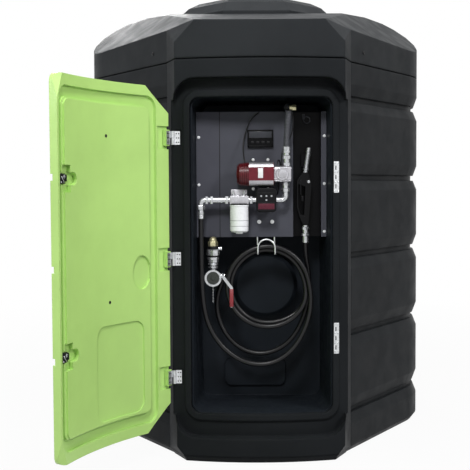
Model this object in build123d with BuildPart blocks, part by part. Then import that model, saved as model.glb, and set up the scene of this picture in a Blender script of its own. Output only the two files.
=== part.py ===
from build123d import *
import math
import os

os.makedirs("parts", exist_ok=True)

# Diesel storage tank with a dispensing cabinet in its front.
# Millimetres, +Z up, front towards -Y, origin at the middle of the footprint on the floor.

# Driving dimensions of the body
tank_width = 1850
tank_length = 2350
corner_half = 405
cheek_half = 450
cheek_depth = 150
facet_depth = 886
side_round = 470
front_bow = 57
wall = 12

# Heights of the body, and the slanting cut under each corner
base_height = 30
base_inset = 22
seam_height = 1925
seam_gap = 6
seam_step = 10
foot_half = 345
foot_tall = 72

# Moulded bands round the sides and the back, parted by dark grooves
groove_heights = [190, 577, 964, 1351, 1738]
groove_tall = 28
groove_depth = 34
lip_depth = 20
slope_above = 55
slope_below = 50

# Door recess, the raised bead round the opening, and the opening
frame_skin = 74
pocket_depth = 62
pocket_low = 117
pocket_high = 1838
gusset_radius = 100
gusset_inner = 310
bead_rise = 12
bead_width = 32
opening_left = -336
opening_right = 350
opening_low = 226
opening_high = 1751
opening_radius = 45

# Cabinet moulding behind the opening, its boss, its pad and the ledges for the panel
liner_wall = 10
cabinet_depth = 400
back_left = -290
back_right = 318
back_low = 236
back_high = 1741
boss_x = 32
boss_z = 822
boss_radius = 163
boss_depth = 100
boss_chamfer = 18
pad_left = -177
pad_right = 138
pad_low = 289
pad_high = 430
pad_depth = 12
pad_radius = 35
ledge_width = 22
ledge_depth = 25

# Top cap and inspection lid
cap_front_height = 2115
plateau_height = 2260
plateau_start = 700
cheek_slope = 38
shoulder_steps = [(0, 0, 57), (33, 52, 31), (111, 99, 15)]
shoulder_corner = 2053
shoulder_cheek = 2084
shoulder_side = 2140
lid_across = 880
lid_shoulder_across = 760
lid_top_across = 640
lid_rim = 24
lid_shoulder = 84
lid_height = 115
lid_wall = 8

# Door, drawn closed on planes that turn with it, and its hinges
door_open_angle = 121
door_thickness = 42
door_near = 14
door_far = 804
door_low = 148
door_high = 1800
door_corner_wide = 140
door_corner_tall = 125
door_corner_radius = 40
door_groove_depth = 12
door_bevel_wide = 46
door_bevel_deep = 36
door_bevel_tall = 108
channel_near = 88
channel_far = 789
channel_low = 196
channel_high = 1752
channel_depth = 14
channel_radius = 60
plug_near = 134
plug_far = 773
plug_low = 247
plug_high = 1702
plug_radius = 40
pad_far_margin = 16
pad_margin = 6
pad_rise = 8
dish_u = 194
dish_z = 922
dish_wide = 118
dish_tall = 161
dish_depth = 12
tray_near = 182
tray_far = 512
tray_low = 266
tray_high = 697
tray_depth = 7
tray_radius = 55
hinge_x = -418
hinge_y = -1116
hinge_heights = [1558, 974, 398]
hinge_tall = 65
hinge_radius = 7
hinge_pin_radius = 3.5
hinge_pin_clearance = 0.4
hinge_leaf = 3
hinge_leaf_width = 27
hinge_split = 1
hinge_stand_off = 2
seat_margin = 6
seat_thick = 20
hinge_pocket_far = 79
hinge_pocket_tall = 110
hinge_pocket_depth = 10
latch_heights = [1359, 605]
latch_wide = 48
latch_tall = 44
latch_thick = 13
latch_gap = 1
latch_slot_near = 656
latch_slot_tall = 56
latch_lobe_near = 708
latch_lobe_far = 766
latch_lobe_tall = 116
strike_x = 367
strike_heights = [1366, 587]
strike_wide = 26
strike_tall = 150
strike_thick = 2

# Equipment panel of folded sheet across the cabinet
panel_front = 1000
sheet = 3
panel_left_edge = -310
panel_joint = -195
panel_right_edge = 167
bay_right_edge = 305
bay_flange = 22
strip_right_edge = 331
panel_low = 1073
panel_high = 1690
joint_gap = 1
rail_half = 20
bay_depth = 50

# Pump with its pipes
pipe_line = 1075
pump_z = 1382
pump_size = 112
pump_round = 28
motor_left = -54
motor_right = 67
cap_length = 56
cap_radius = 57
cap_end_radius = 52
cap_chamfer = 11
head_right = 152
head_size = 78
suction_x = 131
pipe_radius = 15
union_radius = 16
union_top = 1500
suction_top = 1714
outlet_x = 126
line_z = 1257
line_radius = 14
bend_radius = 20

# Meter and filter
meter_left = -18
meter_right = 80
meter_low = 1198
meter_high = 1315
meter_depth = 76
meter_round = 18
meter_face = 4
filter_x = -100
filter_radius = 45
filter_low = 1101
filter_chamfer = 7
filter_top = 1235
filter_head_high = 1278
filter_head_half = 46
filter_head_depth = 48
elbow_x = -287
nipple_low = 1172
display_left = -58
display_right = 70
display_low = 1515
display_high = 1601
display_depth = 14

# Fill point with its cap, and a ball valve with a lever
fill_x = -230
fill_line = 1015
fill_feed_z = 1057
fill_radius = 15
fill_union_radius = 26
fill_union_low = 950
fill_union_high = 1015
coupling_z = 874
coupling_radius = 41
coupling_length = 47
coupling_neck = 26
valve_x = -182
valve_z = 884
valve_radius = 9
lever_line = 1069
lever_sheet = 4
lever_width = 14
lever_knee = (-140, 827)
lever_end = (-140, 738)
lever_hub_radius = 9
lever_pin_radius = 4
lever_clearance = 0.1
lever_gap = 0.4
lever_pin_end = 5

# Hose, its coil and the wire hook that holds it
hose_diameter = 24
coil_x = 38
coil_z = 831
coil_outer_turn = 201
coil_inner_turn = 183
coil_back = 1001
coil_thickness = 62
hook_x = 32
hook_wire = 4
hook_clearance = 0.3
hook_half = 42
hook_arch_z = 1022
hook_top = 1112
hook_plate_tall = 30

# Nozzle in its holder
nozzle_x = 228
nozzle_line = 1000
nozzle_low = 1130
nozzle_high = 1390
nozzle_thick = 34
spout_lean = 18
spout_top = 1512
spout_radius = 11
swivel_radius = 15
swivel_low = 1044
holder_above = 60
holder_wide = 40
holder_tall = 60
holder_gap = 0.3

end_y = tank_length / 2
half_width = tank_width / 2
cheek_y = end_y - cheek_depth
front_radius = (corner_half ** 2 + front_bow ** 2) / (2 * front_bow)
front_centre_y = -end_y - front_bow + front_radius
front_line = end_y + 2 * front_bow
front_reach = 2 * front_bow + cheek_depth
back_line = end_y - cabinet_depth


def body_plan(inset=0):
    """Plan of the body: bowed ends, then a narrow cheek and a long facet at each corner."""
    side = [
        (corner_half, -end_y),
        (cheek_half, -cheek_y),
        (half_width, -end_y + facet_depth),
        (half_width, end_y - facet_depth),
        (cheek_half, cheek_y),
        (corner_half, end_y),
    ]
    with BuildSketch() as plan:
        with BuildLine():
            right = Polyline(*side)
            mirror(right, about=Plane.YZ)
            ThreePointArc((corner_half, -end_y), (0, -end_y - front_bow), (-corner_half, -end_y))
            ThreePointArc((corner_half, end_y), (0, end_y + front_bow), (-corner_half, end_y))
        make_face()
        turns = plan.vertices().filter_by(lambda v: abs(abs(v.X) - half_width) < 1)
        fillet(turns, side_round)
        if inset:
            offset(amount=-inset, kind=Kind.INTERSECTION)
    return plan.sketch


def ribbed_block(inset):
    """The body as one solid, with its bands standing out between the grooves."""
    face = body_plan(inset)
    lip = body_plan(inset + lip_depth)
    groove = body_plan(inset + groove_depth)
    lows = [base_height] + [height + groove_tall + inset for height in groove_heights]
    highs = [height - inset for height in groove_heights] + [seam_height]
    with BuildPart() as block:
        with BuildSketch(Plane.XY.offset(base_height)):
            add(groove)
        extrude(amount=seam_height - base_height)
        for low, high in zip(lows, highs):
            straight_low = low if low == base_height else low + slope_above
            straight_high = high if high == seam_height else high - slope_below
            with BuildSketch(Plane.XY.offset(straight_low)):
                add(face)
            extrude(amount=straight_high - straight_low)
            if straight_low > low:
                with BuildSketch(Plane.XY.offset(low)):
                    add(lip)
                with BuildSketch(Plane.XY.offset(straight_low)):
                    add(face)
                loft(ruled=True)
            if straight_high < high:
                with BuildSketch(Plane.XY.offset(straight_high)):
                    add(face)
                with BuildSketch(Plane.XY.offset(high)):
                    add(lip)
                loft(ruled=True)
    return block.part


def end_box(side_y, high):
    """Region of the body beyond the cheeks at one end."""
    with BuildPart() as region:
        with BuildSketch():
            with Locations((0, side_y * (cheek_y + tank_length / 2))):
                Rectangle(tank_width, tank_length)
        extrude(amount=high)
    return region.part


def foot_wedge(side_x, side_y):
    """What the slanting cut takes away under one corner."""
    low = Vector(foot_half * side_x, (end_y + 20) * side_y, 0)
    corner = Vector(corner_half * side_x, end_y * side_y, foot_tall)
    rear = Vector(cheek_half * side_x, cheek_y * side_y, base_height)
    normal = (corner - low).cross(rear - low)
    if normal.Z > 0:
        normal = normal * -1
    with BuildPart() as wedge:
        with Locations((half_width / 2 * side_x, (cheek_y + tank_length / 2) * side_y, foot_tall)):
            Box(half_width, tank_length, 2 * foot_tall)
        split(bisect_by=Plane(origin=low, z_dir=normal), keep=Keep.TOP)
    return wedge.part


feet = [foot_wedge(side_x, side_y) for side_x in (1, -1) for side_y in (1, -1)]
rib_outer = ribbed_block(0)
rib_inner = ribbed_block(wall)

# Side walls, each from cheek to cheek
with BuildPart() as right_wall:
    add(rib_outer)
    add(rib_inner, mode=Mode.SUBTRACT)
    with BuildSketch():
        with Locations((tank_width / 2, 0)):
            Rectangle(tank_width, 2 * cheek_y)
    extrude(amount=seam_height, mode=Mode.INTERSECT)

with BuildPart() as left_wall:
    mirror(right_wall.part, about=Plane.YZ)

# Back wall with the rear cheeks
with BuildPart() as back_wall:
    add(rib_outer)
    add(rib_inner, mode=Mode.SUBTRACT)
    add(end_box(1, seam_height), mode=Mode.INTERSECT)
    add(feet, mode=Mode.SUBTRACT)


def front_drum(depth):
    """Upright cylinder that follows the bowed front at a depth behind it."""
    with BuildPart() as drum:
        with BuildSketch():
            with Locations((0, front_centre_y)):
                Circle(front_radius - depth)
        extrude(amount=seam_height)
    return drum.part


def upright_rectangle(left, right, low, high, radius):
    """Rounded rectangle on an upright plane, given by its sides."""
    with BuildSketch() as outline:
        with Locations(((left + right) / 2, (low + high) / 2)):
            RectangleRounded(right - left, high - low, radius)
    return outline.sketch


def gusset(side_x, edge_z, side_z):
    """Corner of the recess that stays filled, with a round inner edge."""
    centre_z = edge_z + side_z * gusset_radius
    with BuildSketch() as corner:
        with Locations((side_x * (gusset_inner + gusset_radius), edge_z + side_z * gusset_radius / 2)):
            Rectangle(2 * gusset_radius, gusset_radius)
        with Locations((side_x * gusset_inner, centre_z)):
            Circle(gusset_radius, mode=Mode.SUBTRACT)
    return corner.sketch


gussets = [gusset(side_x, pocket_low, 1) for side_x in (1, -1)]
gussets += [gusset(side_x, pocket_high, -1) for side_x in (1, -1)]

# Space of the door recess, as a cutting tool
with BuildPart() as pocket:
    with BuildSketch(Plane.XZ.offset(front_line)):
        with Locations((0, (pocket_low + pocket_high) / 2)):
            Rectangle(tank_width, pocket_high - pocket_low)
        for corner in gussets:
            add(corner, mode=Mode.SUBTRACT)
    extrude(amount=-front_reach)
    add(front_drum(pocket_depth), mode=Mode.SUBTRACT)

# Raised bead round the opening
with BuildPart() as bead:
    with BuildSketch(Plane.XZ.offset(front_line)):
        add(upright_rectangle(opening_left - bead_width, opening_right + bead_width,
                              opening_low - bead_width, opening_high + bead_width,
                              opening_radius + bead_width))
    extrude(amount=-front_reach)
    add(front_drum(pocket_depth - bead_rise), mode=Mode.INTERSECT)
    add(front_drum(frame_skin), mode=Mode.SUBTRACT)

# Space behind the front wall, between the cheeks
with BuildPart() as front_space:
    with BuildSketch():
        add(body_plan(groove_depth + wall))
    extrude(amount=seam_height)
    add(front_drum(frame_skin), mode=Mode.INTERSECT)

# Front wall with the door recess, the bead, the opening and flat seats for the hinges
leaf_seat_y = hinge_y + hinge_radius + hinge_stand_off
with BuildPart() as front_wall:
    with BuildSketch(Plane.XY.offset(base_height)):
        add(body_plan())
    extrude(amount=seam_height - base_height)
    add(front_space.part, mode=Mode.SUBTRACT)
    add(end_box(-1, seam_height), mode=Mode.INTERSECT)
    add(pocket.part, mode=Mode.SUBTRACT)
    add(bead.part)
    with BuildSketch(Plane.XZ.offset(front_line)):
        add(upright_rectangle(opening_left, opening_right, opening_low, opening_high, opening_radius))
    extrude(amount=-front_reach, mode=Mode.SUBTRACT)
    seat_x = hinge_x + hinge_radius + hinge_leaf_width / 2
    with Locations(*[(seat_x, leaf_seat_y - seat_thick / 2, height) for height in hinge_heights]):
        Box(hinge_leaf_width + 2 * seat_margin, seat_thick, hinge_tall + 2 * seat_margin,
            mode=Mode.SUBTRACT)
    add(feet, mode=Mode.SUBTRACT)

# Base tray that closes the bottom
with BuildPart() as base_tray:
    with BuildSketch():
        add(body_plan(base_inset))
    with BuildSketch(Plane.XY.offset(base_height)):
        add(body_plan())
    loft(ruled=True)
    with BuildSketch(Plane.XY.offset(wall)):
        add(body_plan(groove_depth + wall))
    extrude(amount=base_height, mode=Mode.SUBTRACT)
    add(feet, mode=Mode.SUBTRACT)


def cabinet_space(grow):
    """Tapering space of the cabinet, grown by a wall."""
    with BuildPart() as space:
        with BuildSketch(Plane.XZ.offset(end_y + front_bow)):
            with Locations(((opening_left + opening_right) / 2, (opening_low + opening_high) / 2)):
                Rectangle(opening_right - opening_left + 2 * grow, opening_high - opening_low + 2 * grow)
        with BuildSketch(Plane.XZ.offset(back_line - grow)):
            with Locations(((back_left + back_right) / 2, (back_low + back_high) / 2)):
                Rectangle(back_right - back_left + 2 * grow, back_high - back_low + 2 * grow)
        loft(ruled=True)
        long_edges = space.edges().filter_by(lambda e: e.length > cabinet_depth)
        long_edges = long_edges.filter_by(lambda e: abs(e.tangent_at(0.5).Y) > 0.9)
        fillet(long_edges, opening_radius + grow)
    return space.part


# Ledges on the cabinet's sides that carry the sheet panel
with BuildPart() as ledges:
    with BuildSketch(Plane.XZ.offset(panel_front - sheet)):
        for edge_x, side_x in ((panel_left_edge, 1), (strip_right_edge, -1)):
            with Locations((edge_x, (panel_low + panel_high) / 2)):
                Rectangle(2 * ledge_width, panel_high - panel_low)
    extrude(amount=-ledge_depth)
    add(cabinet_space(liner_wall / 2), mode=Mode.INTERSECT)

# Cabinet moulding: a tapering box with a round boss and a raised pad on its back
with BuildPart() as cabinet_liner:
    add(cabinet_space(liner_wall))
    add(cabinet_space(0), mode=Mode.SUBTRACT)
    with BuildSketch(Plane.XZ.offset(back_line)):
        with Locations((boss_x, boss_z)):
            Circle(boss_radius)
    extrude(amount=boss_depth)
    boss_rim = cabinet_liner.edges().filter_by(GeomType.CIRCLE)
    boss_rim = boss_rim.filter_by(lambda e: abs(e.center().Y + back_line + boss_depth) < 1)
    chamfer(boss_rim, boss_chamfer)
    with BuildSketch(Plane.XZ.offset(back_line)):
        add(upright_rectangle(pad_left, pad_right, pad_low, pad_high, pad_radius))
    extrude(amount=pad_depth)
    add(ledges.part)
    add(front_drum(frame_skin), mode=Mode.INTERSECT)


def shoulder_plane(start, finish, slope, inset=0, rise=0):
    """Plane that leans inwards at a slope, over a line further in and higher than a wall's top."""
    along = Vector(*finish) - Vector(*start)
    inward = Vector(-along.Y, along.X, 0).normalized()
    if inward.dot(Vector(start[0], start[1], 0)) > 0:
        inward = inward * -1
    lean = math.radians(slope)
    climb = inward * math.cos(lean) + Vector(0, 0, math.sin(lean))
    normal = along.cross(climb)
    if normal.Z < 0:
        normal = normal * -1
    return Plane(origin=Vector(*start) + inward * inset + Vector(0, 0, rise), z_dir=normal)


def cap_block(shrink):
    """The cap as one solid: sloping front and back, a flat top and leaning shoulders."""
    end_slope = math.atan2(plateau_height - cap_front_height, plateau_start)
    planes = []
    for side_y in (1, -1):
        origin = (0, -end_y * side_y, cap_front_height - shrink)
        normal = (0, -math.sin(end_slope) * side_y, math.cos(end_slope))
        planes.append(Plane(origin=origin, z_dir=normal))
        for side_x in (1, -1):
            corner = (corner_half * side_x, -end_y * side_y, shoulder_corner)
            cheek = (cheek_half * side_x, -cheek_y * side_y, shoulder_cheek)
            side = (half_width * side_x, (facet_depth - end_y) * side_y, shoulder_side)
            planes.append(shoulder_plane(corner, cheek, cheek_slope, rise=-shrink))
            for inset, rise, slope in shoulder_steps:
                planes.append(shoulder_plane(cheek, side, slope, inset, rise - shrink))
    for side_x in (1, -1):
        front = (half_width * side_x, facet_depth - end_y, shoulder_side)
        rear = (half_width * side_x, end_y - facet_depth, shoulder_side)
        for inset, rise, slope in shoulder_steps:
            planes.append(shoulder_plane(front, rear, slope, inset, rise - shrink))
    with BuildPart() as block:
        with BuildSketch(Plane.XY.offset(seam_height + seam_gap)):
            add(body_plan(shrink))
        extrude(amount=plateau_height - shrink - seam_height - seam_gap)
        for plane in planes:
            split(bisect_by=plane, keep=Keep.BOTTOM)
    return block.part


# Top cap with a set-back rim that sits on the body
with BuildPart() as top_cap:
    add(cap_block(0))
    with BuildSketch(Plane.XY.offset(seam_height)):
        add(body_plan(seam_step))
    extrude(amount=seam_gap)
    add(cap_block(wall + seam_step), mode=Mode.SUBTRACT)
    with BuildSketch(Plane.XY.offset(seam_height)):
        add(body_plan(wall + seam_step))
    extrude(amount=seam_gap, mode=Mode.SUBTRACT)


def octagon(across):
    """Octagon with a flat side to the front."""
    with BuildSketch() as shape:
        RegularPolygon(across / 2, 8, major_radius=False, rotation=22.5)
    return shape.sketch


# Inspection lid, a hollow faceted dome over an upright rim
lid_levels = [(lid_rim, lid_across), (lid_shoulder, lid_shoulder_across), (lid_height, lid_top_across)]
with BuildPart() as inspection_lid:
    for inset, mode in ((0, Mode.ADD), (lid_wall, Mode.SUBTRACT)):
        with BuildSketch(Plane.XY.offset(plateau_height)):
            add(octagon(lid_across - 2 * inset))
        extrude(amount=lid_rim, mode=mode)
        for (low, wide), (high, narrow) in zip(lid_levels, lid_levels[1:]):
            with BuildSketch(Plane.XY.offset(plateau_height + low)):
                add(octagon(wide - 2 * inset))
            lean = math.degrees(math.atan2((wide - narrow) / 2, high - low))
            extrude(amount=high - low - (inset if high == lid_height else 0), taper=lean, mode=mode)

# The door's own plan: u runs from the hinge to the free edge, v runs inwards when it is closed
swing = math.radians(-door_open_angle)
door_x = Vector(math.cos(swing), math.sin(swing), 0)
door_y = Vector(-math.sin(swing), math.cos(swing), 0)
hinge_origin = Vector(hinge_x, hinge_y, 0)
door_plan = Plane(origin=hinge_origin, x_dir=door_x, z_dir=(0, 0, 1))
door_face = Plane(origin=hinge_origin, x_dir=door_x, z_dir=door_y * -1)
arc_centre = (-hinge_x, front_centre_y - hinge_y)


def door_ring(outer_depth, inner_depth, low, high):
    """Curved layer of the door between two depths behind its bowed outer face."""
    with BuildPart() as layer:
        with BuildSketch(door_plan.offset(low)):
            with Locations(arc_centre):
                Circle(front_radius - outer_depth)
                Circle(front_radius - inner_depth, mode=Mode.SUBTRACT)
            with Locations((-hinge_x, 0)):
                Rectangle(tank_width, 4 * corner_half, mode=Mode.INTERSECT)
        extrude(amount=high - low)
    return layer.part


def door_layer(outline, outer_depth, inner_depth):
    """Part of the door within an outline, between two depths behind its outer face."""
    with BuildPart() as layer:
        with BuildSketch(door_face):
            add(outline)
        extrude(amount=half_width, both=True)
        add(door_ring(outer_depth, inner_depth, 0, seam_height), mode=Mode.INTERSECT)
    return layer.part


# Outline of the door with slanting corners at the hinge and round ones at the free edge
with BuildSketch() as door_outline:
    with BuildLine():
        Polyline(
            (door_near, door_low + door_corner_tall),
            (door_near, door_high - door_corner_tall),
            (door_near + door_corner_wide, door_high),
            (door_far, door_high),
            (door_far, door_low),
            (door_near + door_corner_wide, door_low),
            close=True,
        )
    make_face()
    fillet(door_outline.vertices().sort_by(Axis.X)[-2:], door_corner_radius)

channel_outline = upright_rectangle(channel_near, channel_far, channel_low, channel_high, channel_radius)
plug_outline = upright_rectangle(plug_near, plug_far, plug_low, plug_high, plug_radius)
pad_outline = upright_rectangle(plug_near + pad_margin, plug_far - pad_far_margin,
                                plug_low + pad_margin, plug_high - pad_margin, plug_radius - pad_margin)
channel_floor = door_thickness - channel_depth
pad_face = door_thickness + pad_rise

# Hollows in the door's inner face: a dish, a shallow tray and a pocket round each hinge
with BuildSketch() as dish_outline:
    with Locations((dish_u, dish_z)):
        Ellipse(dish_wide / 2, dish_tall / 2)

tray_outline = upright_rectangle(tray_near, tray_far, tray_low, tray_high, tray_radius)

with BuildSketch() as hinge_pocket_outline:
    for height in hinge_heights:
        with Locations((hinge_pocket_far / 2, height)):
            Rectangle(hinge_pocket_far, hinge_pocket_tall)

# Pockets of the latches: a slot with a round end towards the hinge, and a lobe above and below
with BuildSketch() as latch_pocket_outline:
    for height in latch_heights:
        slot_round = latch_slot_tall / 2
        with Locations(((latch_slot_near + slot_round + channel_far) / 2, height)):
            Rectangle(channel_far - latch_slot_near - slot_round, latch_slot_tall)
        with Locations((latch_slot_near + slot_round, height)):
            Circle(slot_round)
        with Locations(((latch_lobe_near + latch_lobe_far) / 2, height)):
            Rectangle(latch_lobe_far - latch_lobe_near, latch_lobe_tall)


def door_point(u, depth, height):
    """Point of the door at a distance from the hinge and a depth behind its outer face."""
    across = arc_centre[0] - u
    v = arc_centre[1] - math.sqrt((front_radius - depth) ** 2 - across ** 2)
    return hinge_origin + door_x * u + door_y * v + Vector(0, 0, height)


def corner_bevel(edge_z, side_z):
    """What a slanting cut takes off the inner corner at the free edge."""
    low = door_point(door_far, door_thickness, edge_z - side_z * door_bevel_tall)
    outer = door_point(door_far, door_thickness - door_bevel_deep, edge_z)
    inner = door_point(door_far - door_bevel_wide, door_thickness, edge_z)
    normal = (outer - low).cross(inner - low)
    if normal.Z * side_z < 0:
        normal = normal * -1
    corner = door_point(door_far, door_thickness, edge_z)
    with BuildPart() as bevel:
        with Locations(tuple(corner)):
            Box(4 * door_bevel_wide, 4 * door_bevel_wide, 2 * door_bevel_tall)
        split(bisect_by=Plane(origin=low, z_dir=normal), keep=Keep.TOP)
    return bevel.part


# Door: a bowed slab with a seal channel round a raised pad on its inner side
with BuildPart() as door:
    add(door_layer(door_outline.sketch, 0, door_thickness))
    for height in groove_heights[1:4]:
        add(door_ring(-1, door_groove_depth, height, height + groove_tall), mode=Mode.SUBTRACT)
    add(door_layer(channel_outline, channel_floor, door_thickness + 1), mode=Mode.SUBTRACT)
    add(door_layer(plug_outline, channel_floor, door_thickness))
    add(door_layer(pad_outline, channel_floor, pad_face))
    add(door_layer(dish_outline.sketch, pad_face - dish_depth, pad_face + 1), mode=Mode.SUBTRACT)
    add(door_layer(tray_outline, pad_face - tray_depth, pad_face + 1), mode=Mode.SUBTRACT)
    add(door_layer(latch_pocket_outline.sketch, channel_floor, pad_face + 1), mode=Mode.SUBTRACT)
    add(door_layer(hinge_pocket_outline.sketch, door_thickness - hinge_pocket_depth, door_thickness + 1),
        mode=Mode.SUBTRACT)
    add(corner_bevel(door_high, 1), mode=Mode.SUBTRACT)
    add(corner_bevel(door_low, -1), mode=Mode.SUBTRACT)
    for height in hinge_heights:
        with BuildSketch(door_plan.offset(height - hinge_tall / 2 - seat_margin)):
            with Locations((door_near + hinge_leaf_width / 2, -hinge_radius - hinge_stand_off - seat_thick / 2)):
                Rectangle(hinge_leaf_width, seat_thick)
        extrude(amount=hinge_tall + 2 * seat_margin)

# Hinges: a leaf with a pin on the frame, and a leaf with a bored knuckle on the door
knuckle_tall = (hinge_tall - hinge_split) / 2

with BuildPart() as hinge_frame_leaves:
    for height in hinge_heights:
        low = height - hinge_tall / 2
        with BuildSketch(Plane.XY.offset(low)):
            with Locations((seat_x, leaf_seat_y - hinge_leaf / 2)):
                Rectangle(hinge_leaf_width, hinge_leaf)
        extrude(amount=hinge_tall)
        with BuildSketch(Plane.XY.offset(low)):
            with Locations((hinge_x, hinge_y)):
                Circle(hinge_radius)
            with Locations((hinge_x + hinge_radius / 2, leaf_seat_y - hinge_leaf)):
                Rectangle(hinge_radius + 1, 2 * hinge_leaf)
        extrude(amount=knuckle_tall)
        with BuildSketch(Plane.XY.offset(low)):
            with Locations((hinge_x, hinge_y)):
                Circle(hinge_pin_radius)
        extrude(amount=hinge_tall)

with BuildPart() as hinge_door_leaves:
    for height in hinge_heights:
        low = height + hinge_tall / 2 - knuckle_tall
        seat_v = -hinge_radius - hinge_stand_off
        with BuildSketch(door_plan.offset(height - hinge_tall / 2)):
            with Locations((door_near + hinge_leaf_width / 2, seat_v + hinge_leaf / 2)):
                Rectangle(hinge_leaf_width, hinge_leaf)
        extrude(amount=hinge_tall)
        with BuildSketch(door_plan.offset(low)):
            Circle(hinge_radius)
            with Locations(((door_near + hinge_radius / 2) / 2 + 1, seat_v + hinge_leaf)):
                Rectangle(door_near - hinge_radius / 2 + 2, 2 * hinge_leaf)
            Circle(hinge_pin_radius + hinge_pin_clearance, mode=Mode.SUBTRACT)
        extrude(amount=knuckle_tall)


def door_tangent(u, height, depth):
    """Plane that lies on the door's curved inner side, facing inwards."""
    origin = door_point(u, depth, height)
    centre = hinge_origin + door_x * arc_centre[0] + door_y * arc_centre[1]
    inward = Vector(centre.X - origin.X, centre.Y - origin.Y, 0).normalized()
    along = Vector(inward.Y, -inward.X, 0)
    return Plane(origin=origin, x_dir=along, z_dir=inward)


# Two latches, each flat on the curved floor of its pocket at the free edge
latch_u = channel_far - latch_gap - latch_wide / 2
floor_radius = front_radius - channel_floor
latch_seat = front_radius - math.sqrt(floor_radius ** 2 - (latch_wide / 2) ** 2)
with BuildPart() as door_latches:
    for height in latch_heights:
        with BuildSketch(door_tangent(latch_u, height, latch_seat)):
            RectangleRounded(latch_wide, latch_tall, 4)
        extrude(amount=latch_thick)

# Strike plates on the bead for the latches
with BuildPart() as strike_plates:
    bead_radius = front_radius - pocket_depth + bead_rise
    strike_y = front_centre_y - math.sqrt(bead_radius ** 2 - strike_x ** 2)
    outward = Vector(strike_x, strike_y - front_centre_y, 0).normalized()
    for height in strike_heights:
        plate_plane = Plane(origin=(strike_x, strike_y, height), x_dir=(-outward.Y, outward.X, 0),
                            z_dir=outward)
        with BuildSketch(plate_plane):
            RectangleRounded(strike_wide, strike_tall, 3)
        extrude(amount=strike_thick)


def sheet_panel(left, right, line):
    """Upright sheet between two sides, its front face at a distance before the middle."""
    with BuildPart() as panel:
        with BuildSketch(Plane.XZ.offset(line)):
            with Locations(((left + right) / 2, (panel_low + panel_high) / 2)):
                Rectangle(right - left, panel_high - panel_low)
        extrude(amount=-sheet)
    return panel.part


# Sheet panel: left strip, main panel, sunk bay for the nozzle, right strip
with BuildPart() as panel_left:
    add(sheet_panel(panel_left_edge, panel_joint - joint_gap, panel_front))
    add(sheet_panel(panel_joint - rail_half, panel_joint + rail_half, panel_front - sheet))

with BuildPart() as panel_main:
    add(sheet_panel(panel_joint, panel_right_edge, panel_front))

bay_front = -panel_front + 1.5 * sheet
with BuildPart() as nozzle_bay:
    with BuildSketch(Plane.XY.offset(panel_low)):
        with BuildLine():
            Polyline(
                (panel_right_edge - bay_flange, bay_front),
                (panel_right_edge - sheet / 2, bay_front),
                (panel_right_edge - sheet / 2, bay_front + bay_depth),
                (bay_right_edge + sheet / 2, bay_front + bay_depth),
                (bay_right_edge + sheet / 2, bay_front),
                (strip_right_edge - ledge_width - sheet, bay_front),
            )
            offset(amount=sheet / 2, side=Side.BOTH, kind=Kind.INTERSECTION)
        make_face()
    extrude(amount=panel_high - panel_low)

with BuildPart() as panel_right:
    add(sheet_panel(bay_right_edge, strip_right_edge, panel_front))


def round_bar(plane, radius, length):
    """Round bar from a plane along its normal."""
    with BuildPart() as bar:
        with BuildSketch(plane):
            Circle(radius)
        extrude(amount=length)
    return bar.part


def pipe(points, bends, radius):
    """Round pipe along straight runs joined by arcs."""
    with BuildPart() as run:
        with BuildLine() as path:
            FilletPolyline(*points, radius=bends)
        with BuildSketch(Plane(origin=path.line @ 0, z_dir=path.line % 0)):
            Circle(radius)
        sweep()
    return run.part


# Pump: end cap, motor body, pump head and the bracket behind it
pump_centre = (0, -pipe_line, pump_z)
with BuildPart() as pump_body:
    with BuildSketch(Plane(origin=(motor_left, -pipe_line, pump_z), z_dir=(1, 0, 0))):
        RectangleRounded(pump_size, pump_size, pump_round)
    extrude(amount=motor_right - motor_left)

with BuildPart() as pump_cap:
    with BuildSketch(Plane(origin=(motor_left, -pipe_line, pump_z), x_dir=(-1, 0, 0), z_dir=(0, 1, 0))):
        with BuildLine():
            Polyline(
                (0, 0),
                (0, cap_radius),
                (cap_length - cap_chamfer, cap_end_radius),
                (cap_length, cap_end_radius - cap_chamfer),
                (cap_length, 0),
                close=True,
            )
        make_face()
    revolve(axis=Axis((motor_left, -pipe_line, pump_z), (1, 0, 0)))

with BuildPart() as pump_head:
    with BuildSketch(Plane(origin=(motor_right, -pipe_line, pump_z), z_dir=(1, 0, 0))):
        RectangleRounded(head_size, head_size, 16)
    extrude(amount=head_right - motor_right)

with BuildPart() as pump_bracket:
    bracket_depth = pipe_line - pump_size / 2 - panel_front
    with BuildSketch(Plane.XZ.offset(panel_front)):
        with Locations(((motor_left + motor_right) / 2, pump_z)):
            Rectangle(motor_right - motor_left - 30, pump_size + 50)
    extrude(amount=sheet)
    with BuildSketch(Plane.XZ.offset(panel_front)):
        with Locations(((motor_left + motor_right) / 2, pump_z)):
            Rectangle(60, 50)
    extrude(amount=bracket_depth)

# Suction pipe from the back wall over the panel and down into the pump, with its union
with BuildPart() as suction_pipe:
    add(pipe([(suction_x, -back_line, suction_top),
              (suction_x, -pipe_line, suction_top),
              (suction_x, -pipe_line, union_top)], bend_radius, pipe_radius))

with BuildPart() as suction_union:
    add(round_bar(Plane(origin=(suction_x, -pipe_line, pump_z + head_size / 2)), union_radius,
                  union_top - pump_z - head_size / 2))

# Outlet pipe from the pump head down and across to the meter
with BuildPart() as outlet_pipe:
    add(pipe([(outlet_x, -pipe_line, pump_z - head_size / 2),
              (outlet_x, -pipe_line, line_z),
              (meter_right, -pipe_line, line_z)], bend_radius, line_radius))

# Flow meter, its face, and the block that carries it on the panel
with BuildPart() as flow_meter:
    with BuildSketch(Plane.XZ.offset(pipe_line - meter_depth / 2)):
        add(upright_rectangle(meter_left, meter_right, meter_low, meter_high, meter_round))
    extrude(amount=meter_depth)

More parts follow.
